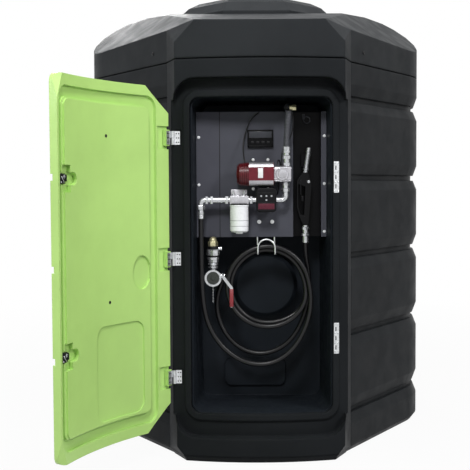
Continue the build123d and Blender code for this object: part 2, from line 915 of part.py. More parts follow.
with BuildPart() as meter_dial:
    with BuildSketch(Plane.XZ.offset(pipe_line + meter_depth / 2)):
        add(upright_rectangle(meter_left + 6, meter_right - 6, meter_low + 6, meter_high - 6,
                              meter_round - 6))
    extrude(amount=meter_face)

with BuildPart() as meter_bracket:
    with BuildSketch(Plane.XZ.offset(panel_front)):
        with Locations(((meter_left + meter_right) / 2, meter_low + 20)):
            Rectangle(meter_right - meter_left - 10, 160)
    extrude(amount=sheet)
    with BuildSketch(Plane.XZ.offset(panel_front)):
        with Locations(((meter_left + meter_right) / 2, line_z)):
            Rectangle(50, 50)
    extrude(amount=pipe_line - meter_depth / 2 - panel_front)

# Filter head with its bracket and nipple, and the spin-on canister below it
with BuildPart() as filter_head:
    with BuildSketch(Plane.XZ.offset(pipe_line - filter_head_depth / 2)):
        with Locations((filter_x, (filter_top + filter_head_high) / 2)):
            RectangleRounded(2 * filter_head_half, filter_head_high - filter_top, 8)
    extrude(amount=filter_head_depth)
    with BuildSketch(Plane.XZ.offset(panel_front)):
        with Locations((filter_x, filter_head_high + 12)):
            Rectangle(80, 36)
    extrude(amount=sheet)
    with BuildSketch(Plane.XY.offset(filter_head_high - 6)):
        with Locations((filter_x, -(panel_front + pipe_line - filter_head_depth / 2) / 2)):
            Rectangle(60, pipe_line - filter_head_depth / 2 - panel_front)
    extrude(amount=6)

with BuildPart() as filter_canister:
    with BuildSketch(Plane.XY.offset(filter_low)):
        with Locations((filter_x, -pipe_line)):
            Circle(filter_radius)
    extrude(amount=filter_top - filter_low)
    chamfer(filter_canister.edges().filter_by(GeomType.CIRCLE).sort_by(Axis.Z)[0], filter_chamfer)

with BuildPart() as meter_nipple:
    add(round_bar(Plane(origin=(filter_x + filter_head_half, -pipe_line, line_z), z_dir=(1, 0, 0)),
                  line_radius, meter_left - filter_x - filter_head_half))

# Delivery pipe from the filter to the elbow that the hose hangs from
with BuildPart() as delivery_pipe:
    add(pipe([(filter_x - filter_head_half, -pipe_line, line_z),
              (elbow_x, -pipe_line, line_z),
              (elbow_x, -pipe_line, nipple_low)], bend_radius, line_radius))

# Level display on the panel
with BuildPart() as level_display:
    with BuildSketch(Plane.XZ.offset(panel_front)):
        add(upright_rectangle(display_left, display_right, display_low, display_high, 4))
    extrude(amount=display_depth)

# Fill point: feed from the back wall, unions, and a tee with the ball valve stub
with BuildPart() as fill_pipe:
    add(pipe([(fill_x, -back_line, fill_feed_z),
              (fill_x, -fill_line, fill_feed_z),
              (fill_x, -fill_line, coupling_z)], bend_radius, fill_radius))
    with BuildSketch(Plane.XY.offset(fill_union_low)):
        with Locations((fill_x, -fill_line)):
            RegularPolygon(fill_union_radius, 8)
    extrude(amount=fill_union_high - fill_union_low)
    add(round_bar(Plane(origin=(fill_x, -fill_line + coupling_neck, coupling_z), z_dir=(0, -1, 0)),
                  coupling_neck, 2 * coupling_neck))
    add(round_bar(Plane(origin=(fill_x, -fill_line, valve_z), z_dir=(1, 0, 0)),
                  valve_radius, valve_x - fill_x + valve_radius))
    stem_plane = Plane(origin=(valve_x, -fill_line, valve_z), z_dir=(0, -1, 0))
    add(round_bar(stem_plane, lever_hub_radius - 2, lever_line - lever_gap - fill_line))
    add(round_bar(stem_plane, lever_pin_radius, lever_line + lever_sheet + lever_pin_end - fill_line))

with BuildPart() as fill_cap:
    add(round_bar(Plane(origin=(fill_x, -fill_line - coupling_neck, coupling_z), z_dir=(0, -1, 0)),
                  coupling_radius, coupling_length - coupling_neck))
    with BuildSketch(Plane.XZ.offset(fill_line + coupling_length)):
        with Locations((fill_x, coupling_z)):
            Circle(coupling_radius - 8)
    extrude(amount=-8, mode=Mode.SUBTRACT)

# Lever of the ball valve, cranked down from its hub
with BuildPart() as valve_lever:
    with BuildSketch(Plane.XZ.offset(lever_line)):
        with BuildLine():
            Polyline((valve_x, valve_z), lever_knee, lever_end)
            offset(amount=lever_width / 2, side=Side.BOTH)
        make_face()
        with Locations((valve_x, valve_z)):
            Circle(lever_hub_radius)
            Circle(lever_pin_radius + lever_clearance, mode=Mode.SUBTRACT)
    extrude(amount=lever_sheet)

# Wire hook on a plate behind the panel's lower edge, with its closed end up in front of the coil
coil_front = coil_back + coil_thickness
hook_front = coil_front + 2 * hook_wire
hook_back = panel_front - sheet - hook_wire
coil_bore = coil_inner_turn - hose_diameter / 2
hook_reach = coil_bore - hook_wire - hook_clearance
hook_low = coil_z + math.sqrt(hook_reach ** 2 - (hook_half + coil_x - hook_x) ** 2)
with BuildPart() as hose_hook:
    bend = 2.5 * hook_wire
    with BuildSketch(Plane.XZ.offset(panel_front - sheet)):
        with Locations((hook_x, hook_top - hook_plate_tall / 2)):
            Rectangle(2 * hook_half + 20, hook_plate_tall)
    extrude(amount=-hook_wire)
    for side_x in (1, -1):
        leg_x = hook_x + side_x * hook_half
        add(pipe([(leg_x, -hook_back, hook_top),
                  (leg_x, -hook_back, hook_low),
                  (leg_x, -hook_front, hook_low),
                  (leg_x, -hook_front, hook_arch_z)], bend, hook_wire))
    with BuildSketch(Plane(origin=(hook_x - hook_half, -hook_front, hook_arch_z))):
        Circle(hook_wire)
    arch_axis = Axis((hook_x, -hook_front, hook_arch_z), (0, 1, 0))
    revolve(axis=arch_axis, revolution_arc=180)


def hose_radii(points):
    """Largest arc at each corner of a route that both of its runs leave room for."""
    radii = []
    for before, here, after in zip(points, points[1:], points[2:]):
        back = Vector(*here) - Vector(*before)
        ahead = Vector(*after) - Vector(*here)
        half_turn = math.radians(back.get_angle(ahead)) / 2
        radii.append(0.45 * min(back.length, ahead.length) / math.tan(half_turn))
    return radii


# Hose from the elbow down round the bottom and up into the coil
hose_in_route = [
    (elbow_x, -pipe_line, nipple_low),
    (elbow_x, -pipe_line, 985),
    (-284, -1068, 800),
    (-264, -1062, 660),
    (-200, -1063, 545),
    (-100, -1063, 466),
    (0, -1064, 443),
    (95, -1064, 466),
    (180, -1062, 540),
    (238, -1060, 660),
    (254, -1055, 770),
    (236, -1052, 880),
]

# Hose from the back of the coil, round the bottom inside the other run, and up to the nozzle
hose_out_route = [
    (-112, -1011, 962),
    (-150, -984, 910),
    (-184, -950, 855),
    (-206, -925, 795),
    (-216, -920, 730),
    (-205, -925, 650),
    (-165, -940, 570),
    (-90, -955, 504),
    (0, -960, 480),
    (90, -965, 502),
    (165, -970, 562),
    (218, -976, 660),
    (245, -981, 780),
    (246, -985, 895),
    (nozzle_x, -nozzle_line, 975),
    (nozzle_x, -nozzle_line, swivel_low),
]

for name, route in (("hose_in", hose_in_route), ("hose_out", hose_out_route)):
    print(name, "radii", [round(radius) for radius in hose_radii(route)])

with BuildPart() as hose_in:
    add(pipe(hose_in_route, hose_radii(hose_in_route), hose_diameter / 2))

with BuildPart() as hose_out:
    add(pipe(hose_out_route, hose_radii(hose_out_route), hose_diameter / 2))

# Outer shape of the coiled turns
with BuildPart() as hose_coil:
    with BuildSketch(Plane.XZ.offset(coil_back)):
        with Locations((coil_x, coil_z)):
            Circle(coil_outer_turn + hose_diameter / 2)
            Circle(coil_bore, mode=Mode.SUBTRACT)
    extrude(amount=coil_thickness)

# Nozzle: body with its guard, spout, and the swivel that the hose ends in
with BuildPart() as nozzle_body:
    with BuildSketch(Plane.XZ.offset(nozzle_line + nozzle_thick / 2)):
        with BuildLine():
            Polyline(
                (nozzle_x - 12, nozzle_low),
                (nozzle_x + 14, nozzle_low),
                (nozzle_x + 24, nozzle_low + 120),
                (nozzle_x + 30, nozzle_high - 60),
                (nozzle_x + 14, nozzle_high),
                (nozzle_x - 16, nozzle_high),
                (nozzle_x - 44, nozzle_high - 40),
                (nozzle_x - 44, nozzle_low + 90),
                (nozzle_x - 30, nozzle_low + 40),
                close=True,
            )
        make_face()
        with BuildLine():
            Polyline(
                (nozzle_x - 8, nozzle_low + 50),
                (nozzle_x - 2, nozzle_high - 70),
                (nozzle_x - 36, nozzle_high - 56),
                (nozzle_x - 36, nozzle_low + 92),
                (nozzle_x - 24, nozzle_low + 50),
                close=True,
            )
        make_face(mode=Mode.SUBTRACT)
    extrude(amount=-nozzle_thick)

spout_run = Vector(spout_lean, 0, spout_top - nozzle_high)
with BuildPart() as nozzle_spout:
    with BuildSketch(Plane(origin=(nozzle_x, -nozzle_line, nozzle_high))):
        Circle(spout_radius)
    extrude(amount=spout_run.length, dir=spout_run.normalized())

with BuildPart() as nozzle_swivel:
    add(round_bar(Plane(origin=(nozzle_x, -nozzle_line, swivel_low)), swivel_radius,
                  nozzle_low - swivel_low))

# Clip in the bay that holds the nozzle by its spout
with BuildPart() as nozzle_holder:
    bay_floor = panel_front - bay_depth - sheet
    with BuildSketch(Plane.XZ.offset(bay_floor)):
        with Locations((nozzle_x, nozzle_high + holder_above)):
            Rectangle(holder_wide, holder_tall)
    extrude(amount=nozzle_line - spout_radius - holder_gap - bay_floor)

pieces = {
    "base_tray": base_tray,
    "front_wall": front_wall,
    "right_wall": right_wall,
    "left_wall": left_wall,
    "back_wall": back_wall,
    "cabinet_liner": cabinet_liner,
    "top_cap": top_cap,
    "inspection_lid": inspection_lid,
    "door": door,
    "door_latches": door_latches,
    "hinge_door_leaves": hinge_door_leaves,
    "hinge_frame_leaves": hinge_frame_leaves,
    "strike_plates": strike_plates,
    "panel_left": panel_left,
    "panel_main": panel_main,
    "panel_right": panel_right,
    "nozzle_bay": nozzle_bay,
    "pump_body": pump_body,
    "pump_cap": pump_cap,
    "pump_head": pump_head,
    "pump_bracket": pump_bracket,
    "suction_pipe": suction_pipe,
    "suction_union": suction_union,
    "outlet_pipe": outlet_pipe,
    "flow_meter": flow_meter,
    "meter_dial": meter_dial,
    "meter_bracket": meter_bracket,
    "filter_head": filter_head,
    "filter_canister": filter_canister,
    "meter_nipple": meter_nipple,
    "delivery_pipe": delivery_pipe,
    "level_display": level_display,
    "fill_pipe": fill_pipe,
    "fill_cap": fill_cap,
    "valve_lever": valve_lever,
    "hose_hook": hose_hook,
    "hose_in": hose_in,
    "hose_out": hose_out,
    "hose_coil": hose_coil,
    "nozzle_body": nozzle_body,
    "nozzle_spout": nozzle_spout,
    "nozzle_swivel": nozzle_swivel,
    "nozzle_holder": nozzle_holder,
}
for name, piece in pieces.items():
    piece.part.label = name
    export_step(piece.part, f"parts/{name}.step")
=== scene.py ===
import math

import bmesh
import bpy
from mathutils import Matrix, Vector


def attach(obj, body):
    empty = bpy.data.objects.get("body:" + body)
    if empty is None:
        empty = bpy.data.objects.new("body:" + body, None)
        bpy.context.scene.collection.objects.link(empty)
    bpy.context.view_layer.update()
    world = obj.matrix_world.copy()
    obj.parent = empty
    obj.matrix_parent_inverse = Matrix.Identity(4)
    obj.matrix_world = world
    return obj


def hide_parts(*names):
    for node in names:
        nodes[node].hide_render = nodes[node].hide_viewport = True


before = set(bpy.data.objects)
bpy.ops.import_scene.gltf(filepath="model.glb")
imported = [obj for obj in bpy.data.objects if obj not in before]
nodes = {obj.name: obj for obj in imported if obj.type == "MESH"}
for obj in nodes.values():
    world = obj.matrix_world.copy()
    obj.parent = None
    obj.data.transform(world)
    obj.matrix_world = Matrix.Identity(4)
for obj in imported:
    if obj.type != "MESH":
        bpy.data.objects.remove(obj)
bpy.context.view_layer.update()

# Places that the CAD shares with the looks, in metres
PIPE_Y = -1.075
PANEL_Y = -1.0
SHEET = 0.003
ELBOW_X = -0.287
NIPPLE_LOW = 1.172
NOZZLE_X = 0.228
NOZZLE_Y = -1.0
SWIVEL_LOW = 1.044
HOSE_DIAMETER = 0.024
COIL_X = 0.038
COIL_Z = 0.831
COIL_OUTER = 0.201
COIL_INNER = 0.183
COIL_FRONT_Y = -1.051
COIL_MIDDLE_Y = -1.033
COIL_BACK_Y = -1.013
FRONT_CORNER_Y = -1.175
FRONT_BOW = 0.057
CORNER_HALF = 0.405
FRONT_RADIUS = (CORNER_HALF ** 2 + FRONT_BOW ** 2) / (2 * FRONT_BOW)
FRONT_CENTRE_Y = FRONT_CORNER_Y - FRONT_BOW + FRONT_RADIUS


# Materials

def srgb(red, green, blue):
    """Linear colour from 0-255 screen values."""
    def linear(value):
        value /= 255
        return value / 12.92 if value <= 0.04045 else ((value + 0.055) / 1.055) ** 2.4
    return (linear(red), linear(green), linear(blue), 1.0)


def shade(colour, factor):
    """The same colour, lighter or darker."""
    return tuple(min(1.0, channel * factor) for channel in colour[:3]) + (1.0,)


def noise(tree, coordinates, scale, detail, roughness=0.5):
    """Noise texture on object coordinates."""
    texture = tree.nodes.new("ShaderNodeTexNoise")
    texture.inputs["Scale"].default_value = scale
    texture.inputs["Detail"].default_value = detail
    texture.inputs["Roughness"].default_value = roughness
    tree.links.new(coordinates, texture.inputs["Vector"])
    return texture.outputs["Fac"]


def map_range(tree, value, low, high, low_from=0.0, high_from=1.0):
    """A value mapped from one range of numbers to another."""
    mapped = tree.nodes.new("ShaderNodeMapRange")
    mapped.inputs["From Min"].default_value = low_from
    mapped.inputs["From Max"].default_value = high_from
    mapped.inputs["To Min"].default_value = low
    mapped.inputs["To Max"].default_value = high
    tree.links.new(value, mapped.inputs["Value"])
    return mapped.outputs["Result"]


def spread(tree, value, low, high):
    """Noise mapped to a range of numbers; most of a noise lies near its middle."""
    return map_range(tree, value, low, high, 0.35, 0.65)


def bump(tree, height, distance, normal=None):
    """Normal of a bumpy surface, on top of the normal before it."""
    made = tree.nodes.new("ShaderNodeBump")
    made.inputs["Strength"].default_value = 1.0
    made.inputs["Distance"].default_value = distance
    tree.links.new(height, made.inputs["Height"])
    if normal:
        tree.links.new(normal, made.inputs["Normal"])
    return made.outputs["Normal"]


SCUFF = 0.06
EDGE_SAMPLES = 4
RIB_HEIGHT = 0.0015


def finish_material(name, colour, roughness, mottle, grain=None, wave=None, metallic=0.0,
                    specular=0.5, coat=0.0, edge=0.0, ribs=0.0):
    """Surface with uneven colour and gloss.

    Mottle, the fine grain and the slow wave are pairs of a strength and a scale. Edge is the
    radius that sharp edges seem to have, and ribs the scale of rings along Z.
    """
    made = bpy.data.materials.new(name)
    made.use_nodes = True
    tree = made.node_tree
    shader = tree.nodes["Principled BSDF"]
    coordinates = tree.nodes.new("ShaderNodeTexCoord").outputs["Object"]
    shader.inputs["Metallic"].default_value = metallic
    shader.inputs["Specular IOR Level"].default_value = specular
    shader.inputs["Coat Weight"].default_value = coat
    uneven, mottle_scale = mottle
    patches = noise(tree, coordinates, mottle_scale, 5.0, 0.6)
    mix = tree.nodes.new("ShaderNodeMix")
    mix.data_type = "RGBA"
    mix.inputs["A"].default_value = shade(colour, 1 - uneven)
    mix.inputs["B"].default_value = shade(colour, 1 + uneven)
    tree.links.new(spread(tree, patches, 0.0, 1.0), mix.inputs["Factor"])
    tree.links.new(mix.outputs["Result"], shader.inputs["Base Color"])
    smears = noise(tree, coordinates, mottle_scale * 5, 3.0, 0.55)
    tree.links.new(spread(tree, smears, roughness - SCUFF, roughness + SCUFF),
                   shader.inputs["Roughness"])
    normal = None
    if edge:
        soft = tree.nodes.new("ShaderNodeBevel")
        soft.samples = EDGE_SAMPLES
        soft.inputs["Radius"].default_value = edge
        normal = soft.outputs["Normal"]
    if ribs:
        rings = tree.nodes.new("ShaderNodeTexWave")
        rings.bands_direction = "Z"
        rings.inputs["Scale"].default_value = ribs
        tree.links.new(coordinates, rings.inputs["Vector"])
        normal = bump(tree, rings.outputs["Fac"], RIB_HEIGHT)
    if wave:
        height, scale = wave
        normal = bump(tree, noise(tree, coordinates, scale, 1.0), height, normal)
    if grain:
        height, scale = grain
        normal = bump(tree, noise(tree, coordinates, scale, 2.0), height, normal)
    if normal:
        tree.links.new(normal, shader.inputs["Normal"])
    return made


MOULDED = (0.00008, 700.0)
BLACK = finish_material("black_polyethylene", srgb(30, 32, 34), 0.44, (0.14, 2.0), MOULDED,
                        wave=(0.003, 2.5), specular=0.03, edge=0.012)
# Painted sheen: the cap and lid take a lighter copy of the walls' polyethylene, so that their tops
# look lit
CAP_BLACK_PAINTED_SHEEN = finish_material("cap_polyethylene_painted_sheen", srgb(38, 40, 42), 0.46, (0.14, 2.0), MOULDED,
                            wave=(0.003, 2.5), specular=0.03, edge=0.014)
LINER = finish_material("liner_polyethylene", srgb(29, 33, 38), 0.40, (0.08, 4.0), MOULDED,
                        wave=(0.003, 4.0), specular=0.05, edge=0.008)
GREEN = finish_material("green_polyethylene", srgb(174, 212, 120), 0.36, (0.05, 2.5), MOULDED,
                        wave=(0.004, 3.0), specular=0.4, edge=0.003)
SUCTION = finish_material("suction_hose", srgb(66, 67, 73), 0.40, (0.06, 40.0), specular=0.3,
                          ribs=45.0)
ZINC = finish_material("galvanised_steel", srgb(206, 208, 210), 0.36, (0.18, 90.0),
                       (0.00004, 500.0), metallic=0.9)
STEEL = finish_material("plated_fittings", srgb(190, 192, 195), 0.24, (0.16, 60.0),
                        (0.00003, 600.0), metallic=0.8)
DARK_CAP = finish_material("dark_cap", srgb(50, 53, 50), 0.30, (0.25, 60.0), (0.00005, 600.0),
                           metallic=0.5)
BRASS = finish_material("brass_fitting", srgb(190, 184, 148), 0.30, (0.08, 70.0),
                        (0.00003, 900.0), metallic=0.6)
PANEL = finish_material("powder_coated_sheet", srgb(70, 71, 79), 0.50, (0.06, 5.0),
                        (0.00008, 1400.0), specular=0.12)
TRIM = finish_material("black_trim", srgb(18, 18, 20), 0.45, (0.10, 12.0), (0.00008, 900.0),
                       specular=0.2)
INK = finish_material("deep_black", srgb(8, 8, 10), 0.36, (0.12, 20.0), (0.00006, 900.0),
                      specular=0.08)
RED = finish_material("red_casting", srgb(94, 20, 34), 0.36, (0.14, 30.0), (0.00010, 700.0),
                      specular=0.3)
CAP_RED = finish_material("red_plastic", srgb(72, 16, 20), 0.30, (0.16, 30.0), (0.00006, 700.0),
                          specular=0.3)
SILVER = finish_material("cast_aluminium", srgb(180, 179, 184), 0.32, (0.12, 40.0),
                         (0.00012, 800.0), metallic=0.8)
METER = finish_material("meter_plastic", srgb(17, 17, 20), 0.36, (0.08, 30.0), (0.00006, 900.0),
                        specular=0.12)
BOLT = finish_material("bright_bolts", srgb(226, 228, 230), 0.34, (0.06, 120.0),
                       (0.00003, 900.0), metallic=0.5)
WHITE = finish_material("white_paint", srgb(232, 233, 237), 0.28, (0.03, 20.0),
                        (0.00003, 500.0), coat=0.3)
SLEEVE = finish_material("red_sleeve", srgb(122, 30, 38), 0.42, (0.08, 60.0), (0.00005, 900.0))
RUBBER = finish_material("hose_rubber", srgb(14, 14, 16), 0.34, (0.10, 12.0), wave=(0.0006, 9.0),
                         specular=0.3)
NOZZLE = finish_material("nozzle_cover", srgb(9, 9, 11), 0.34, (0.10, 40.0), (0.00008, 900.0),
                         specular=0.12, edge=0.004)
BURGUNDY = finish_material("burgundy_label", srgb(78, 20, 38), 0.30, (0.10, 60.0),
                           (0.00003, 900.0), specular=0.3)
LABEL = finish_material("bare_label", srgb(226, 226, 230), 0.38, (0.03, 50.0), (0.00002, 900.0))
GLASS = finish_material("display_glass", srgb(44, 46, 52), 0.20, (0.10, 30.0), (0.00001, 900.0),
                        specular=0.3)
BUTTON = finish_material("grey_button", srgb(150, 152, 158), 0.40, (0.06, 80.0),
                         (0.00003, 900.0))

NODE_MATERIALS = {
    BLACK: ["base_tray", "front_wall", "right_wall", "left_wall", "back_wall"],
    CAP_BLACK_PAINTED_SHEEN: ["top_cap", "inspection_lid"],
    LINER: ["cabinet_liner"],
    INK: ["nozzle_bay", "nozzle_holder", "level_display"],
    GREEN: ["door"],
    ZINC: ["hinge_door_leaves", "hinge_frame_leaves", "strike_plates", "hose_hook"],
    PANEL: ["panel_left", "panel_main", "panel_right", "pump_bracket", "meter_bracket"],
    TRIM: ["door_latches"],
    RED: ["pump_body"],
    CAP_RED: ["pump_cap"],
    SILVER: ["pump_head", "filter_head"],
    SUCTION: ["suction_pipe"],
    STEEL: ["suction_union", "outlet_pipe", "meter_nipple", "delivery_pipe",
            "fill_pipe", "fill_cap", "nozzle_spout", "nozzle_swivel", "valve_lever"],
    METER: ["flow_meter", "meter_dial"],
    WHITE: ["filter_canister"],
    NOZZLE: ["nozzle_body"],
    RUBBER: ["hose_in", "hose_out", "hose_coil"],
}
for finish, names in NODE_MATERIALS.items():
    for name in names:
        nodes[name].data.materials.clear()
        nodes[name].data.materials.append(finish)


# Making pieces

def linked(name, data):
    """New object in the scene."""
    thing = bpy.data.objects.new(name, data)
    bpy.context.scene.collection.objects.link(thing)
    return thing


def smooth_by_angle(thing, degrees=30):
    """Smooth shading that keeps the sharp edges."""
    mesh = thing.data
    for polygon in mesh.polygons:
        polygon.use_smooth = True
    sharp = mesh.attributes.get("sharp_edge")
    if sharp is None:
        sharp = mesh.attributes.new("sharp_edge", "BOOLEAN", "EDGE")
    shape = bmesh.new()
    shape.from_mesh(mesh)
    limit = math.radians(degrees)
    for edge in shape.edges:
        flat = len(edge.link_faces) == 2 and edge.calc_face_angle() < limit
        sharp.data[edge.index].value = not flat
    shape.free()


def mesh_from(name, shape):
    """New mesh from a bmesh, which is freed."""
    mesh = bpy.data.meshes.new(name)
    shape.to_mesh(mesh)
    shape.free()
    return mesh


def place(name, shape, material, body, degrees):
    """New piece from a bmesh, with its material and slot, on its body."""
    mesh = mesh_from(name, shape)
    mesh.materials.append(material)
    thing = linked(name, mesh)
    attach(thing, body)
    smooth_by_angle(thing, degrees)
    return thing


def cord_curve(name, points, diameter, material):
    """Round cord on one smooth curve."""
    curve = bpy.data.curves.new(name, "CURVE")
    curve.dimensions = "3D"
    curve.bevel_depth = diameter / 2
    curve.bevel_resolution = 4
    curve.resolution_u = 5
    curve.use_fill_caps = True
    spline = curve.splines.new("NURBS")
    spline.points.add(len(points) - 1)
    for point, place_at in zip(spline.points, points):
        point.co = (*place_at, 1.0)
    spline.order_u = 3
    spline.use_endpoint_u = True
    curve.materials.append(material)
    return linked(name, curve)


def frame_from(origin, x_axis, y_axis, z_axis):
    """Frame from three axes and a point."""
    made = Matrix((x_axis, y_axis, z_axis)).transposed().to_4x4()
    made.translation = Vector(origin)
    return made


def axis_frame(origin, axis):
    """Frame at a point with its Z along an axis."""
    made = Vector(axis).to_track_quat("Z", "Y").to_matrix().to_4x4()
    made.translation = Vector(origin)
    return made


def upright(x, y, z):
    """Frame with its Z up."""
    return axis_frame((x, y, z), (0, 0, 1))


def to_right(x, y, z):
    """Frame with its Z to the right."""
    return axis_frame((x, y, z), (1, 0, 0))


def facing_front(x, y, z):
    """Frame on a surface that faces -Y: X to the right, Y up, Z outwards."""
    return frame_from((x, y, z), (1, 0, 0), (0, 0, 1), (0, -1, 0))


def moved(at, x, y, z):
    """A frame moved along its own axes."""
    return at @ Matrix.Translation((x, y, z))


def circle_angles(count):
    """Even angles round a circle."""
    return [2 * math.pi * index / count for index in range(count)]


class Work:
    """Mesh of one piece, gathered from turned, boxed and drawn-out solids."""

    def __init__(self):
        self.mesh = bmesh.new()

    def ring_of(self, points):
        """Vertices at points."""
        return [self.mesh.verts.new(point) for point in points]

    def skin(self, rings, capped=True):
        """Side faces between rings of points, and the two ends or a closed round."""
        count = len(rings[0])
        pairs = list(zip(rings, rings[1:]))
        if not capped:
            pairs.append((rings[-1], rings[0]))
        for lower, upper in pairs:
            for index in range(count):
                after = (index + 1) % count
                self.mesh.faces.new((lower[index], lower[after], upper[after], upper[index]))
        if capped:
            self.mesh.faces.new(list(reversed(rings[0])))
            self.mesh.faces.new(rings[-1])

    def turn(self, profile, at, sides):
        """Solid of revolution about the frame's Z; the profile is (height, radius) pairs."""
        self.skin([self.ring_of(at @ Vector((radius * math.cos(angle), radius * math.sin(angle),
                                             height)) for angle in circle_angles(sides))
                   for height, radius in profile])

    def nut(self, at, across, height, sides=6):
        """Nut or bolt head with broken edges."""
        edge = height * 0.14
        radius = across / 2 / math.cos(math.pi / sides)
        self.turn([(0, radius * 0.95), (edge, radius), (height - edge, radius),
                   (height, radius * 0.88)], at, sides)

    def bolt(self, at, across):
        """Hexagon bolt on a washer, with the end of its shank showing."""
        washer = across * 0.14
        self.turn([(0, across * 0.72), (across * 0.06, across * 0.76), (washer, across * 0.72)],
                  at, 24)
        self.nut(moved(at, 0, 0, washer), across, across * 0.5)
        self.turn([(across * 0.6, across * 0.25), (across * 0.78, across * 0.25),
                   (across * 0.84, across * 0.2)], at, 16)

    def screw(self, at, across):
        """Domed screw head with a sunk centre."""
        self.turn([(0, across * 0.5), (across * 0.12, across * 0.49),
                   (across * 0.26, across * 0.38), (across * 0.32, across * 0.2),
                   (across * 0.2, across * 0.14)], at, 20)

    def block(self, at, size, bevel):
        """Box that stands on the frame's XY plane, with round edges."""
        made = bmesh.ops.create_cube(self.mesh, size=1)["verts"]
        fit = moved(at, 0, 0, size[2] / 2) @ Matrix.Diagonal((*size, 1))
        bmesh.ops.transform(self.mesh, matrix=fit, verts=made)
        # Each edge once, in a fixed order
        edges = list(dict.fromkeys(edge for vert in made for edge in vert.link_edges))
        bmesh.ops.bevel(self.mesh, geom=edges, offset=bevel, segments=2, profile=0.5,
                        affect="EDGES")

    def ring(self, at, radius, wire, steps, sides, stretch=0.0):
        """Closed ring of round wire in the frame's XY plane, drawn out along X by stretch."""
        rings = []
        for angle in circle_angles(steps):
            outward = Vector((math.cos(angle), math.sin(angle), 0))
            centre = outward * radius + Vector((math.copysign(stretch / 2, outward.x), 0, 0))
            rings.append(self.ring_of(
                at @ (centre + outward * wire * math.cos(turn)
                      + Vector((0, 0, wire * math.sin(turn)))) for turn in circle_angles(sides)))
        self.skin(rings, capped=False)

    def strip(self, outline, start, finish):
        """Solid along X between two sides from an outline of (y, z) points."""
        self.skin([self.ring_of((x, y, z) for y, z in outline) for x in (start, finish)])

    def done(self, name, material, body="tank", degrees=32):
        """Finish the piece and put it on its body."""
        bmesh.ops.recalc_face_normals(self.mesh, faces=self.mesh.faces)
        return place(name, self.mesh, material, body, degrees)


def softened(node_name, name, material, width, body="tank"):
    """Copy of a CAD piece with rounded edges, in place of it."""
    shape = bmesh.new()
    shape.from_mesh(nodes[node_name].data)
    bmesh.ops.remove_doubles(shape, verts=shape.verts, dist=0.00001)
    bmesh.ops.dissolve_limit(shape, angle_limit=math.radians(2), verts=shape.verts,
                             edges=shape.edges)
    edges = [edge for edge in shape.edges
             if len(edge.link_faces) == 2 and edge.calc_face_angle() > math.radians(30)]
    bmesh.ops.bevel(shape, geom=edges, offset=width, segments=3, profile=0.5, affect="EDGES",
                    clamp_overlap=True)
    thing = place(name, shape, material, body, 40)
    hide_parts(node_name)


# Hose: down from the elbow, round the bottom, two and a third turns on the hook, round the bottom
# again and up to the nozzle
HOSE_IN = [
    (ELBOW_X, PIPE_Y, NIPPLE_LOW),
    (ELBOW_X, PIPE_Y, 0.985),
    (-0.284, -1.068, 0.800),
    (-0.264, -1.062, 0.660),
    (-0.200, -1.063, 0.545),
    (-0.100, -1.063, 0.466),
    (0.000, -1.064, 0.443),
    (0.095, -1.064, 0.466),
    (0.180, -1.062, 0.540),
    (0.238, -1.060, 0.660),
    (0.254, -1.055, 0.770),
    (0.236, -1.052, 0.880),
]
HOSE_OUT = [
    (-0.112, -1.011, 0.962),
    (-0.150, -0.984, 0.910),
    (-0.184, -0.950, 0.855),
    (-0.206, -0.925, 0.795),
    (-0.216, -0.920, 0.730),
    (-0.205, -0.925, 0.650),
    (-0.165, -0.940, 0.570),
    (-0.090, -0.955, 0.504),
    (0.000, -0.960, 0.480),
    (0.090, -0.965, 0.502),
    (0.165, -0.970, 0.562),
    (0.218, -0.976, 0.660),
    (0.245, -0.981, 0.780),
    (0.246, -0.985, 0.895),
    (NOZZLE_X, NOZZLE_Y, 0.975),
    (NOZZLE_X, NOZZLE_Y, SWIVEL_LOW),
]
# Degrees round the coil: its ends, the step between points, and where one turn changes to the next
COIL_START = 14
COIL_END = 859
COIL_STEP = 20
TO_INNER = (335, 374)
TO_BACK = (640, 690)


def blend_between(value, span, before, after):
    """Smooth change from one number to another while value crosses a span."""
    start, finish = span
    share = min(1.0, max(0.0, (value - start) / (finish - start)))
    share = share * share * (3 - 2 * share)
    return before + (after - before) * share


def coil_points():
    """Points of the turns: outer and in front, then inner, then outer again at the back."""
    points = []
    count = round((COIL_END - COIL_START) / COIL_STEP)
    for index in range(1, count):
        angle = COIL_START + (COIL_END - COIL_START) * index / count
        radius = blend_between(angle, TO_INNER, COIL_OUTER, COIL_INNER)
        radius += blend_between(angle, TO_BACK, 0, COIL_OUTER - COIL_INNER)
        y = blend_between(angle, TO_INNER, COIL_FRONT_Y, COIL_MIDDLE_Y)
        y += blend_between(angle, TO_BACK, 0, COIL_BACK_Y - COIL_MIDDLE_Y)
        turn = math.radians(angle)
        points.append((COIL_X + radius * math.cos(turn), y, COIL_Z + radius * math.sin(turn)))
    return points


hose = cord_curve("hose", HOSE_IN + coil_points() + HOSE_OUT, HOSE_DIAMETER, RUBBER)
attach(hose, "tank")
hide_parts("hose_in", "hose_coil", "hose_out")

# Bolts of the sheet panel, the joint of its two sheets, and the bolts of the brackets on it
bolts = Work()
for x, z in ((-0.298, 1.565), (-0.298, 1.332), (0.3215, 1.570), (0.3215, 1.335),
             (0.3215, 1.098)):
    bolts.bolt(facing_front(x, PANEL_Y, z), 0.010)
bolts.done("panel_bolts", BOLT)

joint = Work()
joint.block(facing_front(-0.195, PANEL_Y, 1.3815), (0.0035, 0.617, 0.0008), 0.0003)
joint.done("panel_joint", TRIM)

bolts = Work()
for x in (-0.030, 0.043):
    for z in (1.454, 1.311):
        bolts.bolt(facing_front(x, PANEL_Y - SHEET, z), 0.010)
for x in (-0.001, 0.063):
    bolts.bolt(facing_front(x, PANEL_Y - SHEET, 1.148), 0.013)
bolts.done("bracket_bolts", BOLT)

